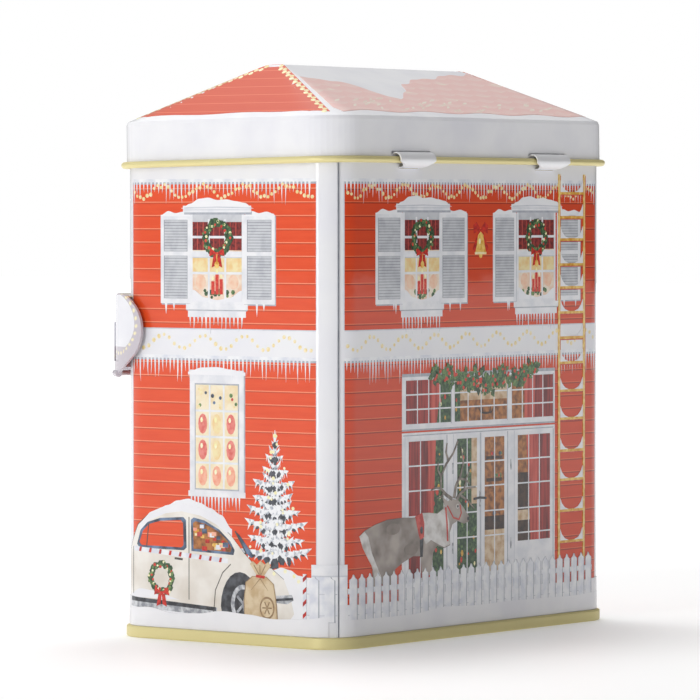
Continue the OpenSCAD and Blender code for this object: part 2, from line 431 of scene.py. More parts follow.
GREEN_DARK = Ink("dark_fir_print", "22402B", second="4C6B42", patch_mm=0.9)
GREEN = Ink("fir_print", "44693F", second="7E9A5A", patch_mm=0.7)
LEAF = Ink("leaf_print", "5E8050", second="37592F", patch_mm=0.9)
BERRY = Ink("red_berry_print", "C9281F", second="E2513E", patch_mm=0.8)
BOW = Ink("red_ribbon_print", "D5301F", second="A01A16", patch_mm=1.0)
BRASS = Ink("gold_paint_print", "D69B33", second="F1CF74", patch_mm=1.4)
BULB = Ink("warm_bulb_print", "EBD594", second="F5E9C4", patch_mm=1.2)
LAMP = Ink("bright_bulb_print", "F4EDB4", second="FAF6D8", patch_mm=1.2)
CAR = Ink("cream_car_print", "EFEBE4", second="DAD2C7", patch_mm=11.0)
CAR_LINE = Ink("car_outline_print", "5B5650", second="3C3936", patch_mm=2.0)
GLASS = Ink("car_glass_print", "37404F", second="6F87A8", patch_mm=4.0)
TYRE = Ink("tyre_print", "2A2B30", second="54575E", patch_mm=2.2)
STEEL = Ink("wheel_print", "8D9097", second="D5D7DB", patch_mm=1.6)
SACK = Ink("sacking_print", "DAC6A4", second="C4A880", patch_mm=3.0)
SACK_LINE = Ink("sacking_fold_print", "8A6C4C", second="A98D68", patch_mm=1.5)
BARK = Ink("dark_branch_print", "50545D", second="2C2F36", patch_mm=1.3)
NEEDLES = Ink("snowy_branch_print", "F2F3F6", second="A9AFBB", patch_mm=1.3, low=0.5, high=0.64)
FUR = Ink("grey_fur_print", "B5ABA4", second="786D66", patch_mm=9.0, low=0.40, high=0.66)
FUR_DARK = Ink("dark_fur_print", "8C817A", second="7A6F68", patch_mm=4.0)
FUR_PALE = Ink("pale_fur_print", "E2E0DE", second="B7B1AC", patch_mm=4.0)
ANTLER = Ink("antler_print", "6A6059", second="9D948A", patch_mm=2.0)
STRAP = Ink("red_strap_print", "B6302A", second="D65A50", patch_mm=2.0)


# ---------------------------------------------------------------- printed sheets


class Wrap:
    """Carries a flat drawing in millimetres round the tin's rounded-rectangle wall.

    The run s starts in the middle of the corner at +X and +Y and goes anticlockwise seen from above.
    """

    def __init__(self, width: float, depth: float, corner: float) -> None:
        """Takes the body's outer width and depth and its corner radius, in millimetres."""
        self.corner = corner
        self.flats = (width - 2 * corner, depth - 2 * corner)
        self.arc = math.pi / 2 * corner
        self.girth = 2 * sum(self.flats) + 4 * self.arc

    def folds(self) -> list[float]:
        """Runs at which a flat drawing is cut so that it can follow the four corners."""
        cuts = []
        start = -self.arc / 2
        for side in range(5):
            cuts += [start + self.arc * step / FOLDS_PER_CORNER for step in range(FOLDS_PER_CORNER + 1)]
            start += self.arc + self.flats[side % 2]
        per_corner = FOLDS_PER_CORNER + 1
        return cuts + [cut - self.girth for cut in cuts[3 * per_corner : 4 * per_corner]]

    def place(self, s: float, z: float, out: float) -> Vector:
        """Finds where a drawn point lies.

        Args:
            s: Run along the wall.
            z: Height above the table.
            out: Distance out of the wall.

        Returns:
            The point in metres.
        """
        run = (s + self.arc / 2) % self.girth
        for side, (sx, sy) in enumerate(((1, 1), (-1, 1), (-1, -1), (1, -1))):
            centre = Vector((sx * self.flats[0] / 2, sy * self.flats[1] / 2, z))
            turned = math.pi / 2 * side
            if run <= self.arc:
                angle = turned + run / self.corner
                return (centre + Vector((math.cos(angle), math.sin(angle), 0)) * (self.corner + out)) * MM
            run -= self.arc
            angle = turned + math.pi / 2
            normal = Vector((math.cos(angle), math.sin(angle), 0))
            if run <= self.flats[side % 2]:
                along = Vector((-normal.y, normal.x, 0))
                return (centre + normal * (self.corner + out) + along * run) * MM
            run -= self.flats[side % 2]
        raise ValueError(f"no place on the wall for s = {s}")


class Drape:
    """Lays a drawing in plan millimetres (x, y) down on the lid's roof."""

    def __init__(self, lid: bpy.types.Object, step: float = 2.2) -> None:
        """Takes the lid's mesh, and the pitch of the cuts that let a drawing follow it."""
        mesh = bmesh.new()
        mesh.from_mesh(lid.data)
        bmesh.ops.remove_doubles(mesh, verts=mesh.verts[:], dist=1e-6)
        self.tree = BVHTree.FromBMesh(mesh)
        self.top = max(v.co.z for v in mesh.verts) + 0.01
        self.step = step
        mesh.free()

    def folds(self) -> list[float]:
        """Cuts across the drawing, the same for x and y."""
        count = int(140 / self.step)
        return [(index - count / 2) * self.step for index in range(count + 1)]

    def place(self, x: float, y: float, out: float) -> Vector:
        """Finds the roof point under (x, y) and lifts it by out millimetres."""
        hit = self.tree.ray_cast(Vector((x * MM, y * MM, self.top)), Vector((0, 0, -1)))[0]
        if hit is None:
            raise ValueError(f"no roof under {x:.1f}, {y:.1f}")
        return hit + Vector((0, 0, out * MM))


@dataclass
class PrintSheet:
    """Flat ink shapes, in order of print, that become one closed printed piece on the tin."""

    name: str
    wrap: Wrap | Drape
    body: str
    slot: str
    foot: float = 0.004
    first: float = 0.014
    layer: float = 0.011
    turn: int = 0
    mesh: bmesh.types.BMesh = field(default_factory=bmesh.new)
    inks: list[Lacquer] = field(default_factory=list)

    def shape(self, points: Iterable[Point], ink: Lacquer, level: int = 0) -> None:
        """Prints a filled outline, a hair above the one before it in the same layer.

        Args:
            points: The outline's corners in order.
            ink: Its ink.
            level: Its layer, where a higher one lies over a lower one.
        """
        if ink not in self.inks:
            self.inks.append(ink)
        self.turn = (self.turn + 1) % STEPS_PER_LAYER
        height = level + self.turn / (STEPS_PER_LAYER + 1)
        corners = [self.mesh.verts.new((s, z, height)) for s, z in points]
        face = self.mesh.faces.new(corners)
        face.material_index = self.inks.index(ink)

    def rect(self, s0: float, s1: float, z0: float, z1: float, ink: Lacquer, level: int = 0) -> None:
        """Prints an upright rectangle from s0 to s1 and z0 to z1."""
        self.shape(((s0, z0), (s1, z0), (s1, z1), (s0, z1)), ink, level)

    def disc(
        self, s: float, z: float, r: float, ink: Lacquer, level: int = 0, tall: float = 1.0, n: int = 9
    ) -> None:
        """Prints a disc of n sides, or an oval where tall is not 1."""
        turn = FULL_TURN / n
        self.shape(
            [(s + r * math.cos(turn * i), z + tall * r * math.sin(turn * i)) for i in range(n)], ink, level
        )

    def stroke(
        self, points: Sequence[Point], width: float, ink: Lacquer, level: int = 0, tip: float = 1.0
    ) -> None:
        """Prints a line of some width through the points, which narrows to tip times the width at its end."""
        flat = [Vector(p) for p in points]
        left, right = [], []
        for index, here in enumerate(flat):
            way = flat[min(index + 1, len(flat) - 1)] - flat[max(index - 1, 0)]
            side = Vector((-way.y, way.x)).normalized()
            half = width / 2 * (1 + (tip - 1) * index / (len(flat) - 1))
            left.append(tuple(here + side * half))
            right.append(tuple(here - side * half))
        for i in range(len(flat) - 1):
            self.shape((left[i], left[i + 1], right[i + 1], right[i]), ink, level)

    def heap(
        self, s0: float, s1: float, z: float, tops: Sequence[float], ink: Lacquer, level: int = 0
    ) -> None:
        """Prints a heap of snow with a flat foot at z and a smooth top through the given heights."""
        count = 6 * (len(tops) - 1)
        line = []
        for index in range(count + 1):
            at = index / 6
            low = min(int(at), len(tops) - 2)
            part = at - low
            part = part * part * (3 - 2 * part)
            line.append((s0 + (s1 - s0) * index / count, tops[low] * (1 - part) + tops[low + 1] * part))
        for (sa, za), (sb, zb) in zip(line, line[1:]):
            self.shape(((sa, z), (sb, z), (sb, max(zb, z + 0.05)), (sa, max(za, z + 0.05))), ink, level)

    def icicles(
        self, s0: float, s1: float, z: float, longest: float, level: int, seed: int, pitch: float = 1.4
    ) -> None:
        """Prints a row of hanging icicles from s0 to s1 under height z."""
        chance = random.Random(seed)
        for index in range(int((s1 - s0) / pitch)):
            s = s0 + (index + 0.5) * pitch
            drop = longest * chance.uniform(0.4, 1.0)
            half = chance.uniform(0.28, 0.42)
            tip = s + chance.uniform(-0.2, 0.2)
            wave = chance.uniform(0.3, 0.5)
            outline = ((s - half, z), (s + half, z), (s + wave * half, z - 0.6 * drop), (tip, z - drop))
            self.shape((*outline, (s - wave * half, z - 0.55 * drop)), FENCE, level)

    def fold(self) -> None:
        """Cuts the flat shapes along the wrap's folds."""
        bmesh.ops.triangulate(self.mesh, faces=[f for f in self.mesh.faces if len(f.verts) > 4])
        axes = ((1, 0, 0),) if isinstance(self.wrap, Wrap) else ((1, 0, 0), (0, 1, 0))
        for axis in axes:
            way = Vector(axis)
            for cut in self.wrap.folds():
                ends = [(f, [v.co.dot(way) for v in f.verts]) for f in self.mesh.faces]
                crossed = [
                    f for f, runs in ends if min(runs) < cut - FOLD_REACH and max(runs) > cut + FOLD_REACH
                ]
                if not crossed:
                    continue
                edges = {e for f in crossed for e in f.edges}
                corners = {v for f in crossed for v in f.verts}
                geom = [*crossed, *edges, *corners]
                bmesh.ops.bisect_plane(self.mesh, geom=geom, plane_co=way * cut, plane_no=way, dist=1e-5)

    def finish(self) -> bpy.types.Object:
        """Cuts, thickens and wraps the shapes, and makes the piece.

        Returns:
            The printed piece, riding on its body.
        """
        mesh = self.mesh
        self.fold()
        made = bmesh.ops.extrude_face_region(mesh, geom=mesh.faces[:])["geom"]
        raised = {item for item in made if isinstance(item, bmesh.types.BMVert)}
        for vert in mesh.verts:
            s, z, level = vert.co
            out = self.first + self.layer * level if vert in raised else self.foot
            vert.co = self.wrap.place(s, z, out)
        bmesh.ops.recalc_face_normals(mesh, faces=mesh.faces[:])
        for face in mesh.faces:
            face.smooth = True
        for edge in mesh.edges:
            edge.smooth = len(edge.link_faces) == 2 and edge.calc_face_angle(math.pi) < SHARP_EDGE
        return make_piece(self.name, mesh, self.inks, self.body)


def make_piece(
    name: str, mesh: bmesh.types.BMesh, inks: Sequence[Lacquer], body: str
) -> bpy.types.Object:
    """Makes an object of a mesh, dresses it and lets it ride on its body.

    Args:
        name: The piece's name.
        mesh: Its finished geometry, in metres in the tin's frame, which is used up.
        inks: Its finishes in slot order.
        body: The moving body it belongs to.

    Returns:
        The object.
    """
    data = bpy.data.meshes.new(name)
    mesh.to_mesh(data)
    mesh.free()
    for ink in inks:
        data.materials.append(ink.build())
    piece = bpy.data.objects.new(name, data)
    bpy.context.scene.collection.objects.link(piece)
    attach(piece, body)
    LOG.info("%s: %d faces, %d finishes", name, len(data.polygons), len(inks))
    return piece


# ---------------------------------------------------------------- drawings on the walls


@dataclass
class Wreath:
    """A round fir wreath with berries and lights, a red ribbon below it and a gold pendant."""

    s: float
    z: float
    radius: float = 4.2
    width: float = 2.4
    pendant: bool = True
    seed: int = 1

    def draw(self, sheet: PrintSheet, level: int) -> None:
        """Prints the wreath on the sheet, starting at level."""
        chance = random.Random(self.seed)
        for index in range(26):
            turn = FULL_TURN * index / 26
            far = self.radius + self.width * chance.uniform(-0.22, 0.22)
            s, z = self.s + far * math.cos(turn), self.z + far * math.sin(turn)
            sheet.disc(s, z, self.width * chance.uniform(0.42, 0.6), GREEN_DARK, level, n=6)
        for index in range(44):
            turn = FULL_TURN * index / 44 + chance.uniform(-0.1, 0.1)
            far = self.radius + self.width * chance.uniform(-0.4, 0.4)
            ink = (BERRY, GREEN, LAMP, GREEN)[index % 4]
            s, z = self.s + far * math.cos(turn), self.z + far * math.sin(turn)
            sheet.disc(s, z, chance.uniform(0.35, 0.55), ink, level + 1 + index % 2, n=6)
        foot = self.z - self.radius - 0.4
        for way in (-1, 1):
            bow = ((0, 0.2), (way * 2.4, 1.8), (way * 2.8, -0.6))
            sheet.shape(moved(bow, self.s, foot), BOW, level + 3)
            tail = ((0, 0), (way * 1.2, -0.3), (way * 1.9, -3.8), (way * 0.4, -3.2))
            sheet.shape(moved(tail, self.s, foot), BOW, level + 4)
        sheet.disc(self.s, foot, 0.6, BERRY, level + 5, n=8)
        if self.pendant:
            sheet.stroke(((self.s, foot), (self.s, foot - 2.4)), 0.25, BRASS, level + 5)
            sheet.disc(self.s, foot - 3.0, 0.85, BRASS, level + 6, tall=1.2, n=8)


@dataclass
class Sash:
    """A glazed light: white frame, glazing bars and the room behind."""

    s0: float
    s1: float
    z0: float
    z1: float
    columns: int = 3
    bars: tuple[float, ...] = ()
    bar: float = 0.7

    def draw(self, sheet: PrintSheet, level: int) -> None:
        """Prints the bars over whatever lies behind the glass."""
        pitch = (self.s1 - self.s0) / self.columns
        for index in range(1, self.columns):
            s = self.s0 + pitch * index
            sheet.rect(s - self.bar / 2, s + self.bar / 2, self.z0, self.z1, FRAME, level)
        for z in self.bars:
            sheet.rect(self.s0, self.s1, z - self.bar / 2, z + self.bar / 2, FRAME, level + 1)

    def cells(self) -> list[tuple[float, float]]:
        """The left and right of each column of panes."""
        pitch = (self.s1 - self.s0) / self.columns
        return [(self.s0 + pitch * i, self.s0 + pitch * (i + 1)) for i in range(self.columns)]


@dataclass
class UpperWindow:
    """An upstairs window with louvred shutters, a snowy head and sill, a wreath and candlelight."""

    left: Point
    right: Point
    panes: Point
    head: Point
    seed: int = 1
    foot: float = 96.2
    top: float = 121.2
    rail: float = 110.4

    def shutter(self, sheet: PrintSheet, s0: float, s1: float) -> None:
        """Prints one louvred shutter with its two fields, the snow on its top and a few icicles."""
        sheet.rect(s0 + 0.3, s1 + 0.4, self.foot - 0.4, self.top - 0.2, SHADE, 1)
        sheet.rect(s0, s1, self.foot, self.top, FRAME, 2)
        for z0, z1 in ((self.foot + 1.4, self.rail - 0.6), (self.rail + 0.6, self.top - 1.4)):
            sheet.rect(s0 + 1.2, s1 - 1.2, z0, z1, SLAT_GAP, 3)
            count = round((z1 - z0) / 0.8)
            for index in range(count):
                z = z0 + (z1 - z0) * index / count
                sheet.rect(s0 + 1.45, s1 - 1.3, z + 0.14, z + 0.74, SLAT, 4)
        lumps = (self.top, self.top + 1.1, self.top + 0.5, self.top + 0.9, self.top + 0.3)
        sheet.heap(s0 + 0.2, s1 - 0.3, self.top - 0.4, lumps, SNOW, 5)
        chance = random.Random(round(s0 * 7))
        for _ in range(2):
            s = chance.uniform(s0 + 1.5, s1 - 1.5)
            drop = chance.uniform(1.8, 3.6)
            sheet.shape(
                ((s - 0.45, self.foot + 0.1), (s + 0.45, self.foot + 0.1), (s, self.foot - drop)), FENCE, 2
            )

    def room(self, sheet: PrintSheet) -> None:
        """Prints what shows through the panes: a red curtain above, three candles in warm light below."""
        s0, s1 = self.panes
        low, high = self.foot + 0.6, self.top - 1.2
        chance = random.Random(self.seed)
        sheet.rect(s0, s1, low, high, GLOW, 3)
        sheet.rect(s0, s1, 105.2, 109.4, GLOW_YELLOW, 4)
        sash = Sash(s0, s1, low, high, 3, (115.1, 104.9))
        sheet.rect(s0, s1, 111.4, high - 0.8, PLAID, 4)
        sheet.rect(s0, s1, high - 0.8, self.top + 0.2, SLAT, 4)
        for left, right in sash.cells():
            sheet.disc((left + right) / 2, 102.4, 1.9, PEACH_LIGHT, 4, tall=1.1, n=12)
            for part in (0.3, 0.65):
                s = left + (right - left) * part
                sheet.rect(s - 0.14, s + 0.14, 111.4, high - 0.8, DRAPE, 5)
        middle = (s0 + s1) / 2
        for index in range(16):
            s = middle + chance.gauss(0, 2.6)
            if s0 + 0.5 < s < s1 - 0.5:
                ink = (GREEN_DARK, GREEN)[index % 2]
                sheet.disc(s, chance.uniform(98.0, 100.0), chance.uniform(0.5, 0.85), ink, 5, n=6)
        for off, high_end in ((-1.5, 102.6), (0.0, 104.6), (1.5, 103.2)):
            sheet.rect(middle + off - 0.6, middle + off + 0.6, 98.9, high_end, BERRY, 6)
            sheet.disc(middle + off, high_end + 0.8, 0.4, LAMP, 8, tall=1.7, n=6)
        sheet.disc(middle - 0.3, 107.0, 0.6, BERRY, 6, n=8)
        sheet.heap(s0, s1, low, (low + 3.4, low + 1.2, low + 0.5, low + 1.1, low + 3.2), SNOW, 6)
        sash.draw(sheet, 7)
        sheet.rect(s0, s1, self.rail - 0.9, self.rail + 0.7, FRAME, 9)
        sheet.rect(s0, s1, self.rail - 1.2, self.rail - 0.9, FAINT, 9)

    def draw(self, sheet: PrintSheet) -> None:
        """Prints the whole window."""
        for s0, s1 in (self.left, self.right):
            self.shutter(sheet, s0, s1)
        s0, s1 = self.panes
        top, foot = self.top, self.foot
        sheet.rect(s0 - 0.9, s1 + 0.9, foot - 0.4, top + 0.9, FRAME, 2)
        self.room(sheet)
        a, b = self.head
        sheet.rect(a + 1.0, b - 0.6, top + 0.1, top + 1.0, SHADE, 6)
        sheet.rect(a + 0.6, b - 0.9, top + 0.7, top + 2.6, FRAME, 7)
        sheet.rect(a + 0.8, b - 1.1, top + 1.3, top + 1.55, FAINT, 8)
        lumps = (1.9, 3.2, 4.6, 4.9, 4.2, 4.4, 3.9, 3.4, 1.8)
        sheet.heap(a, b, top + 1.8, [top + lump for lump in lumps], SNOW, 8)
        sheet.stroke(((a + 1, top + 1.95), ((a + b) / 2, top + 2.2), (b - 1, top + 1.95)), 0.35, FAINT, 9)
        sheet.rect(s0 - 2.4, s1 + 2.2, foot - 1.7, foot - 0.1, FRAME, 10)
        sheet.rect(s0 - 2.2, s1 + 2.0, foot - 2.0, foot - 1.6, SHADE, 9)
        sheet.rect(s0 - 1.7, s1 + 1.5, foot - 3.8, foot - 1.9, FRAME, 8)
        sheet.icicles(s0 - 1.6, s1 + 1.4, foot - 3.6, 5.0, 8, self.seed + 5, 1.45)
        Wreath((s0 + s1) / 2, 114.9, seed=self.seed).draw(sheet, 10)


@dataclass
class TallWindow:
    """A downstairs window with a snowy head, coloured balls on its panes and icicles."""

    s0: float = -50.0
    s1: float = -30.3
    z0: float = 42.0
    z1: float = 77.4
    seed: int = 4

    def draw(self, sheet: PrintSheet) -> None:
        """Prints the window."""
        sheet.rect(self.s0 + 0.4, self.s1 + 0.5, self.z0 - 0.4, self.z1 - 0.4, SHADE, 1)
        sheet.rect(self.s0, self.s1, self.z0, self.z1, FRAME, 2)
        a, b = self.s0 + 2.2, self.s1 - 2.1
        low, high = self.z0 + 1.7, self.z1 - 4.2
        sheet.rect(a - 0.4, b + 0.4, low - 0.4, high + 0.4, SHADE, 3)
        sheet.rect(a, b, low, high, CREAM, 4)
        pitch = (high - low) / 4
        sash = Sash(a, b, low, high, 3, tuple(low + pitch * i for i in (1, 2, 3)), 0.6)
        chance = random.Random(self.seed)
        balls = (BERRY, GREEN, BULB, STRAP, GLASS)
        for column, (left, right) in enumerate(sash.cells()):
            middle = (left + right) / 2
            for row in range(3):
                z = low + pitch * (row + 0.5)
                ink = PEACH if row == 0 else (GLOW_YELLOW if column == 1 else PINK)
                sheet.disc(middle, z, 1.65, ink, 5, tall=1.75, n=12)
                sheet.disc(middle - 0.4, z + 1.1, 0.5, LAMP, 6, tall=1.6, n=6)
            for _ in range(5):
                s, z = chance.uniform(left + 0.7, right - 0.7), chance.uniform(high - pitch + 1, high - 1)
                sheet.disc(s, z, chance.uniform(0.4, 0.75), chance.choice(balls), 5, n=7)
        sash.draw(sheet, 7)
        top = self.z1
        sheet.heap(
            self.s0 - 0.6, self.s1 + 0.6, top - 1.4,
            (top - 0.6, top + 0.7, top + 0.9, top + 0.3, top - 0.5), SNOW, 6,
        )
        sheet.rect(self.s0 - 0.5, self.s1 + 0.6, self.z0 - 0.6, self.z0 + 1.0, FRAME, 7)
        sheet.icicles(self.s0, self.s1, self.z0 - 0.5, 6.0, 6, self.seed, 1.25)


@dataclass
class FirTree:
    """A snow-laden fir: tiers of drooping branches under snow, with dark hollows and small lights."""

    s: float
    tip: float
    foot: float
    widest: float
    seed: int = 7

    def draw(self, sheet: PrintSheet, level: int = 1) -> None:
        """Prints the tree from its lowest tier up."""
        chance = random.Random(self.seed)
        tall = self.tip - self.foot
        sheet.stroke(
            ((self.s, self.foot - 2), (self.s, self.tip - 5)), self.widest * 0.22, BARK, level, tip=0.3
        )
        tiers = 9
        for tier in range(tiers):
            part = tier / (tiers - 1)
            z = self.foot + tall * (0.05 + 0.84 * part)
            reach = self.widest * (1 - part) ** 0.85 * chance.uniform(0.8, 1.12) + 1.1
            for way in (-1, 1):
                for share, rise in ((0.55, 0.07), (1.0, 0.03)):
                    far = way * reach * share * chance.uniform(0.85, 1.12)
                    up = tall * (rise + chance.uniform(-0.02, 0.02)) * (1.1 - 0.5 * part)
                    self.branch(sheet, chance, z + (1.0 - share) * 3.0, far, up, level)
            for _ in range(5):
                s = self.s + reach * chance.uniform(-0.42, 0.42)
                low = z - chance.uniform(0.6, 2.2) * (1.1 - part)
                sheet.shape(
                    ((s - 0.7, low), (s + 0.1, low - 1.1), (s + 0.8, low + 0.1), (s + 0.1, low + 0.8)),
                    BARK, level + 3,
                )
            for _ in range(3):
                s = self.s + reach * chance.uniform(-0.8, 0.8)
                sheet.disc(
                    s, z + chance.uniform(0.0, 0.07) * tall, chance.uniform(0.4, 0.6), LAMP, level + 4, n=7
                )
        sheet.stroke(((self.s, self.tip - 6), (self.s + 0.1, self.tip)), 1.4, NEEDLES, level + 2, tip=0.1)
        for drop in (1.6, 2.8, 4.2, 5.4):
            way = chance.choice((-1, 1))
            root = (self.s, self.tip - drop - 1.2)
            sheet.stroke(
                (root, (self.s + way * (0.5 + drop * 0.28), self.tip - drop)), 0.8, NEEDLES, level + 3,
                tip=0.2,
            )

    def branch(
        self, sheet: PrintSheet, chance: random.Random, z: float, reach: float, rise: float, level: int
    ) -> None:
        """Prints one branch in overlapping tufts of snow, with a twig and dark needles under each.

        Args:
            sheet: The sheet it goes on.
            chance: Where its raggedness comes from.
            z: Height of its root.
            reach: How far out it goes, negative to the left.
            rise: How far its tip lies above its root.
            level: Its layer.
        """
        steps = 5
        out = reach / steps
        thick = min(1.6, abs(reach) * 0.25) + 0.5
        for index in range(steps):
            share = index / steps
            s, h = self.s + reach * share, z + rise * share**1.7
            body = thick * (1.15 - 0.6 * share) * chance.uniform(0.85, 1.15)
            end = rise * ((share + 0.3) ** 1.7 - share**1.7) + chance.uniform(0.0, 0.5)
            low = h - (1.5 - 0.9 * share) * body
            dark = (
                (s - 0.2 * out, h), (s + 1.0 * out, h + end - 0.4), (s + 0.3 * out, low),
                (s - 0.2 * out, low + 0.5),
            )
            sheet.shape(dark, BARK, level)
            low = h - 0.45 * body
            tuft = (
                (s - 0.3 * out, h + 0.5 * body), (s + 1.5 * out, h + end), (s + 0.6 * out, low),
                (s - 0.2 * out, low + 0.3),
            )
            sheet.shape(tuft, NEEDLES, level + 2)
            hang = body * chance.uniform(0.9, 1.7)
            twig = (
                (s + 0.2 * out, h - 0.2 * body), (s + 0.7 * out, h - 0.1 * body), (s + 0.95 * out, h - hang)
            )
            sheet.shape(twig, NEEDLES, level + 1)


@dataclass
class ParkedCar:
    """A round cream car of an early make-up, snow on its roof, parcels inside and a wreath on its door."""

    seed: int = 3

    def draw(self, sheet: PrintSheet) -> None:
        """Prints the car."""
        body = (
            (-74.0, 12.0), (-74.0, 25.0), (-72.6, 27.2), (-69.5, 32.4), (-65.5, 35.4), (-60.0, 37.0),
            (-53.0, 37.6), (-46.0, 36.4), (-40.0, 34.0), (-35.0, 30.6), (-30.5, 26.0), (-26.5, 22.6),
            (-20.5, 22.0), (-16.0, 19.0), (-13.6, 14.0), (-12.4, 9.5), (-14.0, 7.5), (-23.6, 8.0),
            (-38.8, 8.6), (-72.0, 10.6),
        )
        sheet.shape([(s, z + 0.25) for s, z in body], CAR_LINE, 5)
        sheet.shape([(s + 0.15, z) for s, z in body], CAR, 6)
        snow = (31.0, 34.6, 36.8, 38.5, 40.0, 40.6, 39.6, 38.2, 36.4, 32.5)
        sheet.heap(-70.2, -34.6, 30.4, snow, SNOW, 4)
        roof = (
            (-68.6, 31.9), (-64.8, 35.3), (-59.0, 37.4), (-53.0, 38.2), (-46.0, 37.2), (-40.2, 34.9),
            (-36.2, 32.2),
        )
        for (sa, za), (sb, zb) in zip(roof, roof[1:]):
            sheet.shape(((sa, za - 1.3), (sb, zb - 1.3), (sb, zb + 0.9), (sa, za + 0.9)), SNOW, 7)
        self.windows(sheet)
        sheet.stroke(((-50.3, 35.4), (-50.3, 11.8)), 0.28, CAR_LINE, 8)
        sheet.stroke(((-71.8, 26.2), (-71.8, 12.5)), 0.28, CAR_LINE, 8)
        sheet.stroke(((-55.6, 23.4), (-52.6, 23.2)), 0.6, CAR_LINE, 9)
        for index in range(19):
            s = -71.2 + 1.85 * index
            z = 25.0 - 0.12 * index
            sheet.shape(((s, z), (s + 1.85, z - 0.12), (s + 1.85, z + 1.25), (s, z + 1.4)), FENCE, 9)
            if index % 2:
                sheet.shape(
                    ((s + 0.4, z + 0.05), (s + 1.3, z), (s + 1.6, z + 1.3), (s + 0.8, z + 1.35)), BOW, 10
                )
        sheet.heap(-73.0, -54.0, 11.6, (12.6, 14.2, 13.8, 12.6, 11.7), SNOW, 8)
        sheet.shape(((-73.4, 9.0), (-40.0, 7.4), (-40.0, 10.0), (-73.4, 11.9)), STEEL, 8)
        sheet.shape(((-73.0, 10.6), (-40.4, 9.0), (-40.4, 10.1), (-73.0, 11.8)), TYRE, 9)
        half_turn = [math.pi * index / 12 for index in range(13)]
        arch = [(-38.6 + 6.93 * (1 - math.cos(t)), 10.5 + 10.0 * math.sin(t)) for t in half_turn]
        sheet.stroke([(-41.2, 8.8), (-40.6, 15.0), (-38.0, 20.0), (-35.0, 22.6)], 0.3, CAR_LINE, 8)
        sheet.shape(arch + [(-25.0, 7.6), (-38.0, 7.8)], TYRE, 9)
        sheet.disc(-31.0, 11.6, 5.9, TYRE, 10, tall=1.25, n=22)
        sheet.disc(-30.6, 11.4, 4.3, STEEL, 11, tall=1.3, n=20)
        sheet.disc(-30.4, 11.4, 3.2, TYRE, 12, tall=1.35, n=18)
        for index in range(5):
            turn = FULL_TURN * index / 5
            ends = ((-30.3, 11.4), (-30.3 + 2.9 * math.cos(turn), 11.4 + 3.9 * math.sin(turn)))
            sheet.stroke(ends, 0.8, STEEL, 13)
        sheet.shape(((-18.6, 14.4), (-13.0, 14.9), (-12.4, 13.4), (-14.6, 12.2), (-18.4, 12.4)), STEEL, 9)
        sheet.stroke(((-18.6, 13.2), (-12.6, 13.8)), 0.7, TYRE, 10)
        Wreath(-60.4, 17.6, 4.0, 2.0, pendant=False, seed=9).draw(sheet, 11)

    def windows(self, sheet: PrintSheet) -> None:
        """Prints the two side windows, one empty with boards showing through and one full of parcels."""
        rear = (
            (-69.8, 26.9), (-68.3, 31.0), (-65.6, 33.4), (-61.0, 34.7), (-52.4, 35.3), (-51.4, 34.4),
            (-51.2, 26.6), (-52.2, 25.8), (-68.8, 25.9),
        )
        front = (
            (-49.4, 25.7), (-49.6, 34.6), (-48.6, 35.3), (-44.6, 34.6), (-39.2, 32.2), (-35.2, 29.0),
            (-33.6, 26.6), (-34.0, 25.2),
        )
        for outline, centre, behind in ((rear, (-60.5, 30.2), SUNNY_BOARDS), (front, (-42.8, 29.6), ROOM)):
            sheet.shape(outline, GLASS, 8)
            inner = [
                (centre[0] + (s - centre[0]) * 0.88, centre[1] + (z - centre[1]) * 0.82) for s, z in outline
            ]
            sheet.shape(inner, behind, 9)
        sheet.stroke(((-65.2, 33.0), (-66.0, 26.4)), 0.35, CAR_LINE, 10)
        chance = random.Random(self.seed)
        inks = (BRASS, BOW, PEACH, GLASS, BULB, STRAP, FENCE)
        for index in range(26):
            s = chance.uniform(-48.2, -36.0)
            top = min(33.0, 26.4 + (-34.6 - s) * 0.75)
            z = chance.uniform(26.3, max(top, 26.6))
            size = chance.uniform(0.5, 1.0)
            sheet.rect(s - size, s + size, z - 0.6 * size, z + 0.8 * size, inks[index % 7], 10 + index % 3)
        sheet.shape(((-33.2, 31.8), (-31.9, 31.0), (-26.8, 25.4), (-27.6, 24.6), (-29.2, 25.8)), GLASS, 9)
        sheet.stroke(((-33.4, 32.0), (-29.4, 25.9)), 0.4, CAR_LINE, 10)


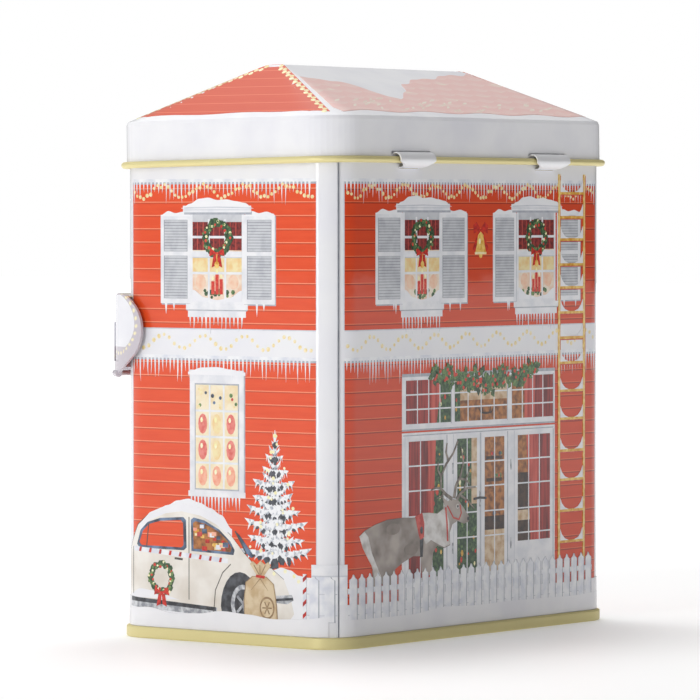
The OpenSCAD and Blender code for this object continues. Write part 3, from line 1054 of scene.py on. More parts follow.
@dataclass
class GiftSack:
    """A tied sacking bag with a plain printed snow star."""

    s: float = -24.0
    z: float = 6.4

    def draw(self, sheet: PrintSheet) -> None:
        """Prints the sack."""
        outline = (
            (-6.0, 0.2), (-6.3, 6.0), (-5.6, 11.4), (-3.2, 13.2), (1.9, 13.2), (4.6, 11.2), (5.7, 5.0),
            (6.1, -0.2),
        )
        sheet.shape(moved(outline, self.s, self.z), SACK_LINE, 14)
        sheet.shape([(self.s + s * 0.95, self.z + 0.1 + z * 0.98) for s, z in outline], SACK, 15)
        crown = (
            (-1.2, 13.0), (-4.0, 16.6), (-3.0, 17.4), (-1.5, 16.4), (-0.2, 17.6), (1.3, 16.6), (2.6, 17.4),
            (3.4, 16.2), (0.6, 13.0),
        )
        sheet.shape(moved(crown, self.s, self.z), SACK, 16)
        for tip in (-2.6, -0.4, 1.6):
            sheet.stroke(((self.s - 0.3, self.z + 13.2), (self.s + tip, self.z + 16.4)), 0.3, SACK_LINE, 17)
        for foot in (-3.6, 2.6):
            sheet.stroke(
                ((self.s - 0.3, self.z + 12.6), (self.s + foot, self.z + 9.2)), 0.3, SACK_LINE, 17, tip=0.3
            )
        sheet.stroke(((self.s - 1.8, self.z + 13.3), (self.s + 1.3, self.z + 13.0)), 0.8, BOW, 18)
        star = (self.s + 2.2, self.z + 4.4)
        sheet.disc(*star, 2.7, SACK_LINE, 17, tall=1.2, n=18)
        sheet.disc(*star, 2.2, SACK, 18, tall=1.2, n=18)
        for index in range(3):
            turn = math.pi * index / 3
            arm = (1.7 * math.cos(turn), 2.0 * math.sin(turn))
            sheet.stroke(
                ((star[0] - arm[0], star[1] - arm[1]), (star[0] + arm[0], star[1] + arm[1])), 0.4,
                SACK_LINE, 19,
            )


@dataclass
class PicketFence:
    """White pointed pickets on two rails, with a soft shadow at the right of each."""

    s0: float
    s1: float
    foot: float = 7.6
    top: float = 20.8
    pitch: float = 3.7
    picket: float = 2.6
    level: int = 22

    def draw(self, sheet: PrintSheet) -> None:
        """Prints rails and pickets."""
        for z in (self.foot + 2.6, self.top - 4.6):
            sheet.rect(self.s0, self.s1, z - 0.6, z + 0.7, FENCE, self.level)
            sheet.rect(self.s0, self.s1, z - 0.85, z - 0.5, FAINT, self.level - 1)
        count = max(1, int((self.s1 - self.s0) / self.pitch))
        for index in range(count):
            s = self.s0 + (self.s1 - self.s0) * (index + 0.5) / count
            half = self.picket / 2
            point = ((s - half, self.foot), (s + half, self.foot), (s + half, self.top - 1.4))
            tip = ((s + 0.35 * half, self.top - 0.9), (s, self.top), (s - 0.35 * half, self.top - 0.9))
            outline = (*point, *tip, (s - half, self.top - 1.4))
            sheet.shape([(a + 0.35, b - 0.1) for a, b in outline], SHADE, self.level + 1)
            sheet.shape(outline, FENCE, self.level + 2)


@dataclass
class LightString:
    """A string of small warm bulbs that hangs in equal swags between two heights."""

    s0: float
    s1: float
    high: float
    low: float
    period: float = 15.0
    bulb: float = 0.62
    pitch: float = 1.5
    level: int = 1
    jitter: float = 0.2
    ink: Lacquer = BULB

    def draw(self, sheet: PrintSheet) -> None:
        """Prints the bulbs."""
        chance = random.Random(round(self.s0 * 10))
        for index in range(int((self.s1 - self.s0) / self.pitch) + 1):
            s = self.s0 + self.pitch * index
            part = (s / self.period) % 1.0
            z = self.low + (self.high - self.low) * (0.5 + 0.5 * math.cos(FULL_TURN * part))
            z += chance.uniform(-self.jitter, self.jitter)
            sheet.disc(s, z, self.bulb * chance.uniform(0.8, 1.15), self.ink, self.level, n=7)


@dataclass
class GardenDoors:
    """Four glazed door leaves under a wide transom light with a fir garland."""

    s0: float = 28.9
    s1: float = 104.2
    leaves: tuple[Point, ...] = ((32.1, 48.7), (55.4, 65.0), (68.9, 78.6), (85.4, 101.7))
    lights: tuple[Point, ...] = ((30.8, 52.3), (54.2, 79.9), (82.4, 103.2))
    behind_lights: tuple[Room, ...] = (Room.CURTAIN_AND_FIR, Room.CHANDELIER, Room.CURTAINS)
    behind_leaves: tuple[Room, ...] = (Room.CURTAIN_AND_FIR, Room.TWO_FIRS, Room.SHELVES, Room.HEARTH)
    seed: int = 12

    def draw(self, sheet: PrintSheet) -> None:
        """Prints the doors, the transom and the garland."""
        sheet.rect(self.s0, self.s1, 60.3, 76.0, FRAME, 2)
        sheet.rect(self.s0, self.s1, 75.4, 76.3, SHADE, 3)
        sheet.rect(self.s0, self.s1, 60.0, 60.5, SHADE, 3)
        sheet.rect(self.s0, self.s1, 12.0, 59.5, FRAME, 2)
        sheet.rect(self.s0 + 0.6, self.s1 - 0.6, 58.6, 58.9, SHADE, 3)
        chance = random.Random(self.seed)
        for index, (a, b) in enumerate(self.lights):
            self.room(sheet, chance, (a, b), (62.0, 74.4), self.behind_lights[index])
            Sash(a, b, 62.0, 74.4, 4, (66.1, 70.3), 0.42).draw(sheet, 7)
            sheet.rect(b, b + 0.35, 61.6, 74.8, SHADE, 3)
        for index, (a, b) in enumerate(self.leaves):
            foot = 26.0 if index == 3 else 18.0
            self.room(sheet, chance, (a, b), (foot, 57.0), self.behind_leaves[index])
            columns = 3 if b - a > 12 else 2
            Sash(a, b, foot, 57.0, columns, (28.4, 35.6, 42.9, 50.0), 0.42).draw(sheet, 7)
            sheet.rect(a - 1.9, a - 1.6, 14.0, 58.4, FAINT, 3)
            sheet.rect(b + 1.5, b + 1.9, 14.0, 58.4, SHADE, 3)
        sheet.rect(66.2, 66.9, 37.0, 41.6, STEEL, 8)
        for way in (-1, 1):
            sheet.stroke(((66.5, 39.6), (66.5 + way * 3.2, 39.3)), 0.7, TYRE, 9)
        for s in (52.9, 81.6):
            for z in (24.0, 47.0):
                sheet.rect(s, s + 0.6, z, z + 3.2, STEEL, 8)
        self.garland(sheet, chance)

    def room(self, sheet: PrintSheet, chance: random.Random, run: Point, rise: Point, view: Room) -> None:
        """Prints what shows behind one glazed light.

        Args:
            sheet: The sheet it goes on.
            chance: Where the small differences come from.
            run: The light's left and right edges.
            rise: Its foot and its top.
            view: Which part of the room shows.
        """
        (a, b), (z0, z1) = run, rise
        wide = b - a
        sheet.rect(a, b, z0, z1, ROOM if view in (Room.CHANDELIER, Room.SHELVES) else ROOM_DARK, 3)
        if view is Room.CURTAIN_AND_FIR:
            sheet.rect(a, a + wide * 0.55, z0, z1, CURTAIN, 4)
            edge = a + wide * 0.78
            self.fir(sheet, chance, a + wide * 0.6, b, z0, z1)
            sheet.shape(
                ((a + wide * 0.55, z0), (edge - 2.2, z0), (edge, z1), (a + wide * 0.55, z1)), DRAPE, 7
            )
        elif view is Room.CHANDELIER:
            sheet.rect(a, b, z0 + 6.0, z1, ROOM_PALE, 4)
            self.fir(sheet, chance, a, a + wide * 0.1, z0, z1 - 1.0)
            middle = a + wide * 0.6
            sheet.stroke(((middle, z1), (middle, z0 + 8.0)), 0.3, ROOM_DARK, 5)
            for way in (-1, 1):
                arm = ((middle, z0 + 2.0), (middle + way * 2.6, z0 + 2.2), (middle + way * 4.4, z0 + 4.4))
                sheet.stroke(arm, 0.7, ROOM_DARK, 5, tip=0.4)
                sheet.stroke(
                    ((middle + way * 1.6, z0 + 2.1), (middle + way * 2.4, z0 + 4.6)), 0.6, ROOM_DARK, 5,
                    tip=0.4,
                )
        elif view is Room.CURTAINS:
            sheet.rect(a, a + wide * 0.3, z0, z1, ROOM, 4)
            sheet.rect(a + wide * 0.3, a + wide * 0.55, z0, z1, DRAPE, 6)
            sheet.rect(a + wide * 0.5, b, z0, z1, CURTAIN, 5)
        elif view is Room.TWO_FIRS:
            sheet.rect(a, b, z0, z1, ROOM_PALE, 4)
            self.fir(sheet, chance, a, a + wide * 0.72, z0, z1)
            self.fir(sheet, chance, a + wide * 0.7, b, z0, z1 - 19.0)
        elif view is Room.SHELVES:
            sheet.rect(a, b, z0, z0 + 12.0, ROOM_PALE, 4)
            sheet.rect(a, b, z0 + 12.0, z0 + 16.0, ROOM_DARK, 4)
            sheet.rect(a + 0.8, b - 1.2, z1 - 13.0, z1 - 12.0, ROOM_DARK, 5)
            sheet.rect(a + 0.8, b - 1.2, z1 - 6.5, z1 - 5.6, ROOM_DARK, 5)
            for _ in range(9):
                s, z = chance.uniform(a + 1, b - 1.4), chance.choice((z1 - 11.3, z1 - 4.9, z0 + 16.8))
                sheet.disc(
                    s, z, chance.uniform(0.5, 0.9), chance.choice((BERRY, BRASS, GLASS, GREEN)), 6, n=7
                )
        else:
            sheet.rect(a, a + wide * 0.4, z1 - 11.0, z1, ROOM, 4)
            sheet.rect(a, a + wide * 0.4, z0 + 6.0, z0 + 9.0, ROOM_PALE, 4)
            sheet.rect(a + wide * 0.5, b, z0, z1, CURTAIN, 5)
            edge = a + wide * 0.62
            sheet.shape(((a + wide * 0.4, z0), (edge + 1.5, z0), (edge, z1), (a + wide * 0.26, z1)), DRAPE, 6)

    def fir(self, sheet: PrintSheet, chance: random.Random, a: float, b: float, z0: float, z1: float) -> None:
        """Prints part of a lit indoor fir between a and b, z0 and z1."""
        sheet.rect(a, b, z0, z1, GREEN_DARK, 5)
        count = int((b - a) * (z1 - z0) / 7)
        for index in range(count):
            s, z = chance.uniform(a + 0.6, b - 0.6), chance.uniform(z0 + 0.8, z1 - 0.8)
            ink = (GREEN, GREEN, BERRY, BRASS, LAMP, GREEN)[index % 6]
            sheet.disc(s, z, chance.uniform(0.35, 0.7), ink, 6, tall=chance.uniform(0.9, 1.7), n=6)

    def garland(self, sheet: PrintSheet, chance: random.Random) -> None:
        """Prints the garland of fir, leaves and berries over the transom."""
        for index in range(420):
            s = chance.uniform(43.5, 94.5)
            share = abs((s - 69.0) / 26.0)
            thick = 2.7 - 0.8 * share
            z = 73.3 + 3.0 * share**1.3 + 0.7 * math.sin(s * 0.42) + chance.uniform(-thick, thick * 0.8)
            if index % 8 == 4:
                sheet.disc(s, z, chance.uniform(0.4, 0.6), BERRY, 14, n=8)
                continue
            turn, long = chance.uniform(0, FULL_TURN), chance.uniform(1.6, 2.9)
            tip = (s + long * math.cos(turn), z + long * math.sin(turn))
            side = (0.35 * long * math.sin(turn), -0.35 * long * math.cos(turn))
            middle_point = ((s + tip[0]) / 2, (z + tip[1]) / 2)
            leaf = ((s, z), (middle_point[0] + side[0], middle_point[1] + side[1]), tip)
            ink = (GREEN_DARK, GREEN, LEAF)[index % 3]
            sheet.shape((*leaf, (middle_point[0] - side[0], middle_point[1] - side[1])), ink, 10 + index % 4)


@dataclass
class Reindeer:
    """A grey reindeer with a pale neck and rump, branching antlers and a red strap."""

    def draw(self, sheet: PrintSheet) -> None:
        """Prints the reindeer."""
        body = (
            (9.0, 31.4), (11.4, 32.8), (16.0, 34.2), (22.0, 35.4), (29.0, 35.6), (35.2, 35.3), (38.4, 36.5),
            (42.0, 36.4), (45.6, 36.0), (48.4, 37.2), (50.2, 38.8), (52.4, 39.9), (55.6, 39.4), (58.4, 37.0),
            (61.0, 34.4), (61.0, 33.0), (58.6, 32.4), (55.4, 33.4), (53.0, 32.6), (51.6, 30.2), (51.8, 26.6),
            (49.0, 25.9), (45.6, 26.8), (43.6, 25.0), (42.6, 19.0), (38.4, 17.0), (37.8, 24.2), (34.0, 24.4),
            (29.0, 22.8), (25.6, 21.2), (24.2, 17.0), (20.6, 16.0), (18.6, 18.4), (16.4, 16.4), (15.2, 17.4),
            (15.0, 22.6), (10.6, 28.0),
        )
        sheet.shape(body, FUR, 14)
        pale = (
            (38.4, 36.4), (42.0, 36.3), (45.6, 35.9), (48.4, 37.0), (50.0, 36.6), (51.4, 33.0), (51.4, 30.2),
            (51.6, 26.8), (49.0, 26.1), (45.4, 27.4), (42.6, 28.6), (40.0, 27.4), (38.6, 30.0),
        )
        sheet.shape(pale, FUR_PALE, 15)
        rump = (
            (9.0, 31.4), (11.2, 32.6), (13.0, 31.0), (14.6, 26.4), (19.0, 19.4), (16.0, 19.0), (14.8, 22.6),
            (10.6, 27.9),
        )
        sheet.shape(rump, FUR_PALE, 15)
        for s, z, r, tall, ink in ((24.6, 32.6, 3.2, 0.5, FUR_DARK), (33.0, 26.4, 3.4, 0.5, FUR_DARK)):
            sheet.disc(s, z, r, ink, 15, tall=tall, n=18)
        strap = ((35.0, 35.6), (38.4, 36.6), (39.4, 33.4), (39.2, 29.6), (37.6, 28.6), (36.6, 30.4))
        sheet.shape(strap, STRAP, 16)
        sheet.shape(((37.2, 28.8), (39.0, 29.4), (38.6, 24.0), (37.4, 23.9)), TYRE, 16)
        sheet.disc(38.0, 31.6, 0.7, TYRE, 17, tall=1.6, n=8)
        sheet.stroke(((49.6, 37.6), (50.2, 33.4), (50.6, 27.8)), 0.75, STRAP, 16)
        sheet.stroke(((50.4, 38.0), (53.4, 34.4), (56.0, 33.8)), 0.5, STRAP, 17)
        sheet.stroke(((56.0, 33.6), (57.2, 35.6), (56.6, 38.0)), 0.5, STRAP, 17)
        sheet.disc(55.4, 37.6, 0.75, FUR_PALE, 16, n=9)
        sheet.disc(55.5, 37.6, 0.42, TYRE, 17, n=8)
        sheet.disc(60.6, 33.8, 0.6, TYRE, 16, n=8)
        sheet.shape(((51.6, 38.8), (48.0, 40.6), (49.4, 37.8)), FUR, 16)
        self.antlers(sheet)

    def antlers(self, sheet: PrintSheet) -> None:
        """Prints the two antlers with their tines."""
        beams = (
            (
                (52.8, 39.8), (49.8, 41.2), (47.2, 43.2), (47.4, 46.6), (50.0, 50.0), (53.4, 53.0),
                (55.6, 56.4),
            ),
            ((55.0, 39.6), (57.0, 41.4), (60.0, 42.6), (64.2, 42.8)),
            ((53.8, 40.0), (54.6, 43.4), (57.0, 46.6), (58.2, 50.2), (57.0, 54.6)),
        )
        tines = (
            ((47.6, 43.0), (45.0, 43.4), (42.6, 42.8)), ((47.5, 46.4), (45.8, 48.4), (46.0, 50.6)),
            ((51.0, 50.8), (49.8, 53.4), (50.4, 56.0)), ((58.6, 42.0), (59.6, 45.4), (61.4, 48.0)),
            ((57.0, 40.6), (60.4, 39.0), (63.6, 36.6)), ((56.2, 45.6), (59.6, 45.0), (61.4, 43.6)),
            ((48.6, 41.8), (47.4, 40.6), (45.4, 40.4)),
        )
        for line in beams:
            sheet.stroke(line, 1.1, ANTLER, 18, tip=0.4)
        for line in tines:
            sheet.stroke(line, 0.8, ANTLER, 19, tip=0.4)


@dataclass
class WallLadder:
    """A gold ladder with snow lying at both ends of each rung."""

    left: float = 106.3
    right: float = 119.2
    foot: float = 19.0
    top: float = 133.4
    rungs: tuple[float, ...] = (
        127.9, 120.8, 114.2, 106.8, 100.0, 92.6, 85.1, 77.7, 69.4, 61.1, 51.6, 43.0, 33.8, 24.6,
    )

    def draw(self, sheet: PrintSheet) -> None:
        """Prints rungs, snow and rails."""
        for z in self.rungs:
            sheet.rect(self.left, self.right, z - 0.45, z + 0.35, BRASS, 12)
            sheet.rect(self.left, self.right, z - 0.75, z - 0.42, STRAP, 11)
            for s, way in ((self.left + 0.6, 1), (self.right - 0.6, -1)):
                snow = (
                    (s, z + 0.3), (s + way * 4.4, z + 0.3), (s + way * 2.4, z + 0.9),
                    (s + way * 0.9, z + 2.2), (s, z + 3.8),
                )
                sheet.shape(snow, SNOW, 12)
        for s in (self.left, self.right):
            sheet.rect(s + 0.4, s + 0.75, self.foot, self.top - 0.4, STRAP, 11)
            sheet.rect(s - 0.5, s + 0.5, self.foot, self.top, BRASS, 13)
            sheet.rect(s - 0.18, s + 0.12, self.foot, self.top, BULB, 14)


@dataclass
class WallBell:
    """A gold bell under a red ribbon, hung on the boards."""

    s: float = 66.8
    z: float = 115.0

    def draw(self, sheet: PrintSheet) -> None:
        """Prints ribbon and bell."""
        for way in (-1, 1):
            loop = ((0, 2.2), (way * 2.0, 4.4), (way * 3.6, 3.4), (way * 3.4, 1.0))
            sheet.shape(moved(loop, self.s, self.z), BOW, 3)
            tail = ((0, 2.0), (way * 1.2, 1.6), (way * 3.9, -3.4), (way * 2.5, -4.2))
            sheet.shape(moved(tail, self.s, self.z), BOW, 4)
        bell = ((-2.7, -4.6), (-1.9, -2.2), (-1.3, 0.6), (0, 1.6), (1.3, 0.6), (1.9, -2.2), (2.7, -4.6))
        sheet.shape(moved(bell, self.s, self.z), BRASS, 5)
        sheet.rect(self.s - 2.8, self.s + 2.8, self.z - 5.0, self.z - 4.3, BULB, 6)
        sheet.disc(self.s, self.z - 5.3, 0.8, BRASS, 5, n=8)
        sheet.disc(self.s - 0.5, self.z - 1.2, 0.5, LAMP, 6, tall=1.8, n=7)


# ---------------------------------------------------------------- the tin


@dataclass
class HouseWalls:
    """The four printed walls: boards, snow, icicles, lights and everything drawn on them."""

    width: float = 134.8
    depth: float = 79.6
    corner: float = 10.0
    foot: float = 3.45
    low_top: float = 80.7
    high_foot: float = 89.2
    high_top: float = 130.8
    board_left: float = 4.8
    board_right: float = 3.4

    def __post_init__(self) -> None:
        """Sets up the wrap and the middles of the four corners."""
        self.wrap = Wrap(self.width, self.depth, self.corner)
        rear, side = self.wrap.flats[0] + self.wrap.arc, self.wrap.flats[1] + self.wrap.arc
        self.corners = (-side, 0.0, rear, rear + side, 2 * rear + side)

    def sheet(self, name: str) -> PrintSheet:
        """Starts a printed sheet on the body."""
        return PrintSheet(name, self.wrap, BODY, "printed_tinplate")

    def extent(self, wall: Wall) -> Point:
        """Where the boards of a wall begin and end."""
        return self.corners[wall] + self.board_right, self.corners[wall + 1] - self.board_left

    def build(self) -> list[bpy.types.Object]:
        """Prints every wall.

        Returns:
            The printed pieces.
        """
        made = []
        for wall in Wall:
            made += [self.boards(wall), self.trim(wall)]
        made += [self.right(), self.rear(), self.left(), self.front()]
        return made

    def boards(self, wall: Wall) -> bpy.types.Object:
        """Prints a wall's two storeys of red boards."""
        sheet = self.sheet(f"boards_{wall.name.lower()}")
        s0, s1 = self.extent(wall)
        ink = BOARDS if wall in (Wall.REAR, Wall.FRONT) else SUNNY_BOARDS
        sheet.rect(s0, s1, self.foot + 7.6, self.low_top, ink)
        sheet.rect(s0, s1, self.high_foot, self.high_top, ink)
        return sheet.finish()

    def trim(self, wall: Wall) -> bpy.types.Object:
        """Prints the white bands' shadows, icicles, warm lights, corner boards, a painted shadow along the
        side seam's groove and the snow on the ground.
        """
        sheet = self.sheet(f"snow_and_lights_{wall.name.lower()}")
        s0, s1 = self.extent(wall)
        for z, longest, seed in ((self.high_top, 6.8, 20), (self.low_top, 7.2, 30)):
            sheet.rect(s0, s1, z - 0.7, z + 0.1, SHADE, 1)
            sheet.rect(s0, s1, z - 0.1, z + 0.8, FENCE, 2)
            sheet.icicles(s0, s1, z + 0.1, longest, 3, seed + wall)
        LightString(s0 + 1, s1 - 1, 129.8, 126.4, level=5, bulb=0.55, pitch=1.3, jitter=0.5).draw(sheet)
        LightString(s0 + 1, s1 - 1, 87.2, 83.4, level=2, bulb=0.62, pitch=1.9, jitter=0.15).draw(sheet)
        # Painted shadow: a thin grey line along the groove of the side seam at the near corner, the same on
        # each wall's sheet.
        sheet.rect(1.35, 1.7, self.foot, 136.0, SHADE, 30)
        sheet.rect(s0, s1, self.high_foot - 0.35, self.high_foot, FAINT, 1)
        for s in (s0 - 0.28, s1):
            sheet.rect(s, s + 0.28, self.foot + 16, self.low_top, FAINT, 1)
            sheet.rect(s, s + 0.28, self.high_foot, self.high_top, FAINT, 1)
        chance = random.Random(40 + wall)
        tops = [chance.uniform(7.6, 9.2) for _ in range(9)]
        sheet.heap(s0 - 2.5, s1 + 3.5, self.foot, tops, SNOW, 26)
        if wall != Wall.RIGHT:
            sheet.heap(s0 - 2.5, s1 + 3.5, self.foot, [top + 4.2 for top in tops], SNOW, 20)
        return sheet.finish()

    def right(self) -> bpy.types.Object:
        """Prints the +X side: two windows, a fir, the car with its sack, and the fence's start."""
        sheet = self.sheet("print_right")
        UpperWindow(
            (-60.7, -49.6), (-30.3, -19.1), (-48.9, -31.0), (-53.0, -26.7), seed=2, top=121.4
        ).draw(sheet)
        TallWindow().draw(sheet)
        FirTree(-19.2, 61.0, 24.0, 12.6).draw(sheet)
        sheet.heap(-26.0, -4.4, 6.0, (14.0, 19.0, 21.6, 22.4, 21.8, 20.4, 20.0, 20.0), SNOW, 4)
        sheet.heap(-76.0, -26.0, 4.0, (11.6, 12.0, 12.2, 12.0, 11.8), SNOW, 3)
        for s, z in ((-19.4, 20.6), (-15.4, 21.4), (-12.2, 20.2), (-10.6, 18.8)):
            sheet.disc(s, z, 0.6, LAMP, 7, n=7)
        ParkedCar().draw(sheet)
        GiftSack().draw(sheet)
        sheet.rect(-9.0, -7.8, 6.6, 21.0, FENCE, 20)
        for z in (8.4, 11.8, 15.2, 18.6):
            sheet.shape(((-9.0, z), (-7.8, z + 1.0), (-7.8, z + 2.2), (-9.0, z + 1.2)), BOW, 21)
        PicketFence(-7.6, 1.2).draw(sheet)
        sheet.rect(-6.1, 4.2, 8.0, 20.6, FENCE, 20)
        sheet.rect(-6.1, 4.2, 20.6, 23.7, FRAME, 25)
        sheet.rect(-6.1, 4.2, 20.3, 20.7, FAINT, 26)
        return sheet.finish()

    def rear(self) -> bpy.types.Object:
        """Prints the rear: two windows, bell, garden doors, reindeer, ladder and fence."""
        sheet = self.sheet("print_rear")
        UpperWindow((16.5, 29.3), (47.0, 60.1), (30.2, 46.6), (25.6, 52.6), seed=5, top=122.0).draw(sheet)
        UpperWindow((72.9, 84.6), (105.2, 117.2), (85.7, 103.6), (81.5, 108.0), seed=6, top=122.0).draw(sheet)
        WallBell().draw(sheet)
        GardenDoors().draw(sheet)
        Reindeer().draw(sheet)
        WallLadder().draw(sheet)
        PicketFence(4.4, 123.2).draw(sheet)
        return sheet.finish()

    def left(self) -> bpy.types.Object:
        """Prints the -X side: an upstairs window, a tall window and two snowy firs behind the fence."""
        sheet = self.sheet("print_left")
        s0, s1 = self.extent(Wall.LEFT)
        middle = (s0 + s1) / 2
        a, b = middle - 8.9, middle + 8.9
        UpperWindow((a - 11.8, a - 0.7), (b + 0.7, b + 11.8), (a, b), (a - 4.1, b + 4.3), seed=8).draw(sheet)
        TallWindow(middle - 9.9, middle + 9.9, seed=15).draw(sheet)
        FirTree(s0 + 14.0, 60.0, 17.0, 11.5, seed=17).draw(sheet)
        FirTree(s1 - 13.0, 50.0, 16.0, 10.0, seed=18).draw(sheet)
        PicketFence(s0, s1).draw(sheet)
        return sheet.finish()

    def front(self) -> bpy.types.Object:
        """Prints the front: two upstairs windows, and the door between two tall windows under the hood."""
        sheet = self.sheet("print_front")
        s0, s1 = self.extent(Wall.FRONT)
        middle = (s0 + s1) / 2
        for centre, seed in ((middle - 29.0, 21), (middle + 29.0, 22)):
            a, b = centre - 8.9, centre + 8.9
            UpperWindow(
                (a - 11.8, a - 0.7), (b + 0.7, b + 11.8), (a, b), (a - 4.1, b + 4.3), seed=seed
            ).draw(sheet)
        for centre, seed in ((middle - 34.0, 23), (middle + 34.0, 24)):
            TallWindow(centre - 9.9, centre + 9.9, 34.0, 70.0, seed=seed).draw(sheet)
        self.door(sheet, middle)
        for s, seed in ((middle - 16.5, 25), (middle + 16.5, 26)):
            FirTree(s, 46.0, 12.0, 6.8, seed=seed).draw(sheet, 10)
        PicketFence(s0, middle - 13.0).draw(sheet)
        PicketFence(middle + 13.0, s1).draw(sheet)
        return sheet.finish()

    def door(self, sheet: PrintSheet, s: float) -> None:
        """Prints the panelled front door with its wreath, light above it and doorstep at run s."""
        sheet.rect(s - 12.0, s + 12.0, 9.0, 72.0, FRAME, 2)
        sheet.rect(s - 10.0, s + 10.0, 60.6, 69.8, GLOW_YELLOW, 3)
        Sash(s - 10.0, s + 10.0, 60.6, 69.8, 4, (65.2,), 0.6).draw(sheet, 4)
        sheet.rect(s - 10.2, s + 10.2, 10.0, 59.0, SHADE, 3)
        sheet.rect(s - 9.6, s + 9.6, 10.0, 58.4, GREEN_DARK, 4)
        for z0, z1 in ((13.0, 26.0), (29.0, 42.0), (45.0, 56.0)):
            for a, b in ((s - 8.0, s - 0.9), (s + 0.9, s + 8.0)):
                sheet.rect(a, b, z0, z1, GREEN, 5)
                sheet.rect(a + 0.8, b - 0.8, z0 + 0.8, z1 - 0.8, GREEN_DARK, 6)
        sheet.disc(s + 8.7, 35.0, 0.9, BRASS, 7, n=12)
        Wreath(s, 46.0, 4.8, 2.6, pendant=False, seed=27).draw(sheet, 8)
        sheet.rect(s - 13.5, s + 13.5, 7.0, 10.4, FENCE, 27)


@dataclass
class HouseRoof:
    """The lid's printed roof: red boards on the ends, tiles on the long slopes, lights down the hips."""

    eave_x: float = 66.3
    eave_y: float = 38.4
    ridge_x: float = 43.5
    ridge_y: float = 3.0

    def __post_init__(self) -> None:
        """Sets up the drape over the lid."""
        self.drape = Drape(bpy.data.objects["lid_shell"])

    def sheet(self, name: str) -> PrintSheet:
        """Starts a printed sheet on the lid."""
        return PrintSheet(name, self.drape, LID, "printed_roof_tinplate", foot=-0.05, first=0.12, layer=0.012)

    def build(self) -> list[bpy.types.Object]:
        """Prints both ends and both long slopes.

        Returns:
            The printed pieces.
        """
        made = []
        for way, name in ((1, "right"), (-1, "left")):
            made.append(self.end(way, f"roof_end_{name}"))
        for way, name in ((1, "rear"), (-1, "front")):
            made.append(self.slope(way, f"roof_slope_{name}"))
        return made

    def end(self, way: int, name: str) -> bpy.types.Object:
        """Prints an end triangle and the zigzag of lights at its hips."""
        sheet = self.sheet(name)
        corner = (63.4, 36.2)
        outline = [(self.ridge_x - 0.6, -2.0), (corner[0], -corner[1] + 1.2), (self.eave_x - 0.6, -29.5)]
        count = 12
        for index in range(1, count):
            y = -29.5 + 59.0 * index / count
            outline.append((self.eave_x - 0.7 - 0.25 * math.sin(index * 1.1), y))
        outline += [(self.eave_x - 0.6, 29.5), (corner[0], corner[1] - 1.2), (self.ridge_x - 0.6, 2.0)]
        sheet.shape([(way * x, y) for x, y in outline], ROOF_RED, 0)
        for side in (-1, 1):
            a, b = Vector((self.ridge_x, side * 2.2)), Vector((corner[0] + 0.2, side * (corner[1] - 1.4)))
            for index in range(26):
                here = a.lerp(b, (index + 0.5) / 26)
                off = 0.8 if index % 2 else 0.2
                spot = (way * (here.x + 0.3 + off), here.y - side * off * 0.6)
                sheet.disc(*spot, 0.75, (BULB, LAMP)[index % 2], 2, n=7)
        return sheet.finish()

    def slope(self, way: int, name: str) -> bpy.types.Object:
        """Prints the tiles between a wavy line of snow under the ridge and one above the eave."""
        sheet = self.sheet(name)
        chance = random.Random(50 + way)
        count = 96
        upper, lower = [], []
        for index in range(count + 1):
            part = index / count
            x = -60.0 + 120.0 * part
            hip = self.ridge_y + (abs(x) - self.ridge_x) / (62.4 - self.ridge_x) * (35.6 - self.ridge_y)
            wave = 0.7 * math.sin(x * 0.31 * way + 1.0) + 0.4 * math.sin(x * 0.67 + 2.0)
            snow = self.patch(x * way) + wave
            top = max(hip + 1.9, self.ridge_y - 3.0 + max(3.6, snow))
            foot = min(
                self.eave_y - 1.6 + 0.6 * math.sin(x * 0.23),
                self.eave_y + 0.8 - max(0.0, abs(x) - 56.0) * 0.5,
            )
            upper.append((x, min(top, foot - 0.1)))
            lower.append((x, foot))
        for (xa, ya), (xb, yb), (_, fa), (_, fb) in zip(upper, upper[1:], lower, lower[1:]):
            sheet.shape(((xa, way * ya), (xb, way * yb), (xb, way * fb), (xa, way * fa)), TILES, 0)
        for _ in range(44):
            group = 13.0 * round(chance.uniform(-3.6, 3.6))
            y = self.eave_y - 4.4 - 9.0 * chance.random() ** 1.8
            x = group + chance.uniform(-5.0, 3.0)
            long = chance.uniform(2.6, 6.0)
            streak = ((0.0, 0.0), (0.45, 0.5), (1.0, 2.2), (0.4, 1.5))
            sheet.shape([(x + long * a, way * (y + b)) for a, b in streak], STREAK, 1)
        return sheet.finish()

    def patch(self, x: float) -> float:
        """How far the ridge's snow reaches down at x, in plan."""
        edge = (
            (-62.0, 3.0), (-43.0, 4.6), (-30.0, 7.0), (-12.0, 10.5), (4.0, 15.0), (8.0, 20.0), (14.0, 24.5),
            (20.0, 26.5), (24.0, 25.0), (29.0, 17.5), (38.0, 14.0), (48.0, 11.0), (62.0, 6.0),
        )
        for (xa, da), (xb, db) in zip(edge, edge[1:]):
            if x <= xb:
                part = (x - xa) / (xb - xa)
                return da + (db - da) * part
        return edge[-1][1]


@dataclass
class DressedFrame:
    """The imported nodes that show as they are, each with its own finish."""

    finishes: dict[str, Lacquer] = field(
        default_factory=lambda: {
            "body_wall": WALL,
            "side_seam": GOLD,
            "top_hem": GOLD,
            "bottom_panel": GOLD,
            "bottom_ring": GOLD,
            "hinge_tab_left": WHITE,
            "hinge_tab_right": WHITE,
            "porch_hood": HOOD,
            "lid_shell": SNOW,
            "lid_rolled_edge": GOLD,
        }
    )

    def dress(self, nodes: dict[str, bpy.types.Object]) -> None:
        """Puts each finish on its node's object."""
        for name, finish in self.finishes.items():
            node = nodes[name]
            node.data.materials.clear()
            node.data.materials.append(finish.build())
            LOG.info("%s: %s", name, finish.name)


# ---------------------------------------------------------------- studio


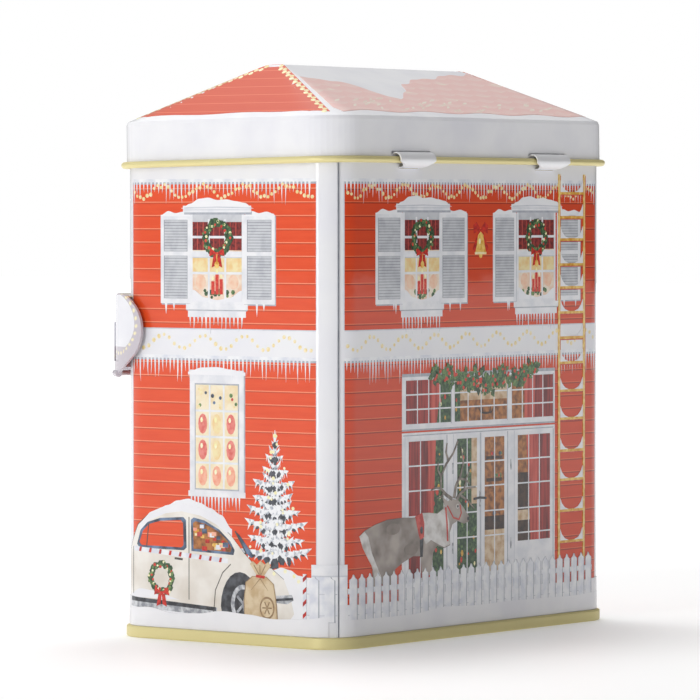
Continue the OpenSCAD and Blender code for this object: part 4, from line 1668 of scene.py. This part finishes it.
@dataclass
class Studio:
    """A white table and backdrop, a tall softbox at the tin's right side and a soft sky."""

    camera_at: Place = (1.1144, 0.8485, 0.1209)
    heading_deg: float = 37.5
    pitch_deg: float = 1.604
    lens: float = 244.9
    floor: float = 6.0
    sunny_way: Place = (0.66, -0.5, 0.56)

    def build(self) -> None:
        """Makes the camera, the lamps, the sky and the floor."""
        self.camera()
        self.sky()
        self.ground()
        self.softbox("softbox_side", (1.3, 0.06, 0.30), (0.0, 0.06, 0.1), 0.16, 1.0, 4.3)
        self.softbox("softbox_top", (-0.3, -0.36, 1.3), (0.0, 0.0, 0.15), 0.7, 0.6, 12.0)
        self.softbox("softbox_front", (0.9, -1.2, 0.9), (0.0, 0.0, 0.08), 0.9, 0.9, 1.2)
        scene = bpy.context.scene
        scene.view_settings.view_transform = "Standard"

    def camera(self) -> None:
        """Puts the camera level with the tin's middle, at a rear corner."""
        data = bpy.data.cameras.new("camera")
        data.lens = self.lens
        data.clip_end = 20.0
        cam = bpy.data.objects.new("camera", data)
        bpy.context.scene.collection.objects.link(cam)
        cam.location = self.camera_at
        heading, pitch = math.radians(self.heading_deg), math.radians(self.pitch_deg)
        flat = Vector((-math.cos(heading), -math.sin(heading), 0.0))
        look = flat * math.cos(pitch) - Vector((0, 0, math.sin(pitch)))
        cam.rotation_euler = look.to_track_quat("-Z", "Y").to_euler()
        bpy.context.scene.camera = cam

    def sky(self) -> None:
        """Makes a white sky that is dimmer behind the tin, so that the rear wall lies in soft shade."""
        world = bpy.data.worlds.new("sky")
        bpy.context.scene.world = world
        world.use_nodes = True
        tree = world.node_tree
        tree.nodes.clear()
        way = add(tree, "ShaderNodeTexCoord").outputs["Generated"]
        lit = add(tree, "ShaderNodeVectorMath", {0: way, 1: self.sunny_way}, operation="DOT_PRODUCT")
        lit = lit.outputs["Value"]
        power = span(tree, lit, -0.6, 0.6, 0.0, 0.58)
        seen = add(tree, "ShaderNodeLightPath").outputs["Is Camera Ray"]
        power = add(tree, "ShaderNodeMix", {0: seen, 2: power, 3: 1.0}).outputs[0]
        shade = add(tree, "ShaderNodeBackground", {0: (1, 1, 1, 1), 1: power})
        add(tree, "ShaderNodeOutputWorld", {0: shade.outputs[0]})

    def ground(self) -> None:
        """Lays the pale floor."""
        mesh = bmesh.new()
        bmesh.ops.create_grid(mesh, x_segments=4, y_segments=4, size=self.floor)
        data = bpy.data.meshes.new("floor")
        mesh.to_mesh(data)
        mesh.free()
        paper = bpy.data.materials.new("white_paper_floor")
        paper.use_nodes = True
        shader = paper.node_tree.nodes["Principled BSDF"]
        shader.inputs["Base Color"].default_value = srgb("F0F0F0")
        shader.inputs["Roughness"].default_value = 0.5
        shader.inputs["Emission Color"].default_value = (1, 1, 1, 1)
        tree = paper.node_tree
        away = add(tree, "ShaderNodeTexCoord").outputs["Object"]
        away = add(tree, "ShaderNodeVectorMath", {0: away}, operation="LENGTH").outputs["Value"]
        glow = span(tree, away, 0.25, 1.1, 0.18, 0.85)
        tree.links.new(glow, shader.inputs["Emission Strength"])
        data.materials.append(paper)
        floor = bpy.data.objects.new("floor", data)
        bpy.context.scene.collection.objects.link(floor)

    def softbox(self, name: str, at: Place, aim: Place, wide: float, tall: float, power: float) -> None:
        """Hangs one rectangular lamp.

        Args:
            name: Its name.
            at: Where it hangs, in metres.
            aim: The point it faces.
            wide: Its width.
            tall: Its height.
            power: Its power in watts.
        """
        data = bpy.data.lights.new(name, "AREA")
        data.shape = "RECTANGLE"
        data.size, data.size_y, data.energy = wide, tall, power
        lamp = bpy.data.objects.new(name, data)
        bpy.context.scene.collection.objects.link(lamp)
        lamp.location = at
        lamp.rotation_euler = (Vector(aim) - Vector(at)).to_track_quat("-Z", "Y").to_euler()


def main() -> None:
    """Loads the frame, dresses it, prints the walls and the roof, and sets up the studio."""
    logging.basicConfig(level=logging.INFO, format="%(message)s")
    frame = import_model()
    DressedFrame().dress(frame["nodes"])
    HouseWalls().build()
    HouseRoof().build()
    Studio().build()


if __name__ == "__main__":
    main()
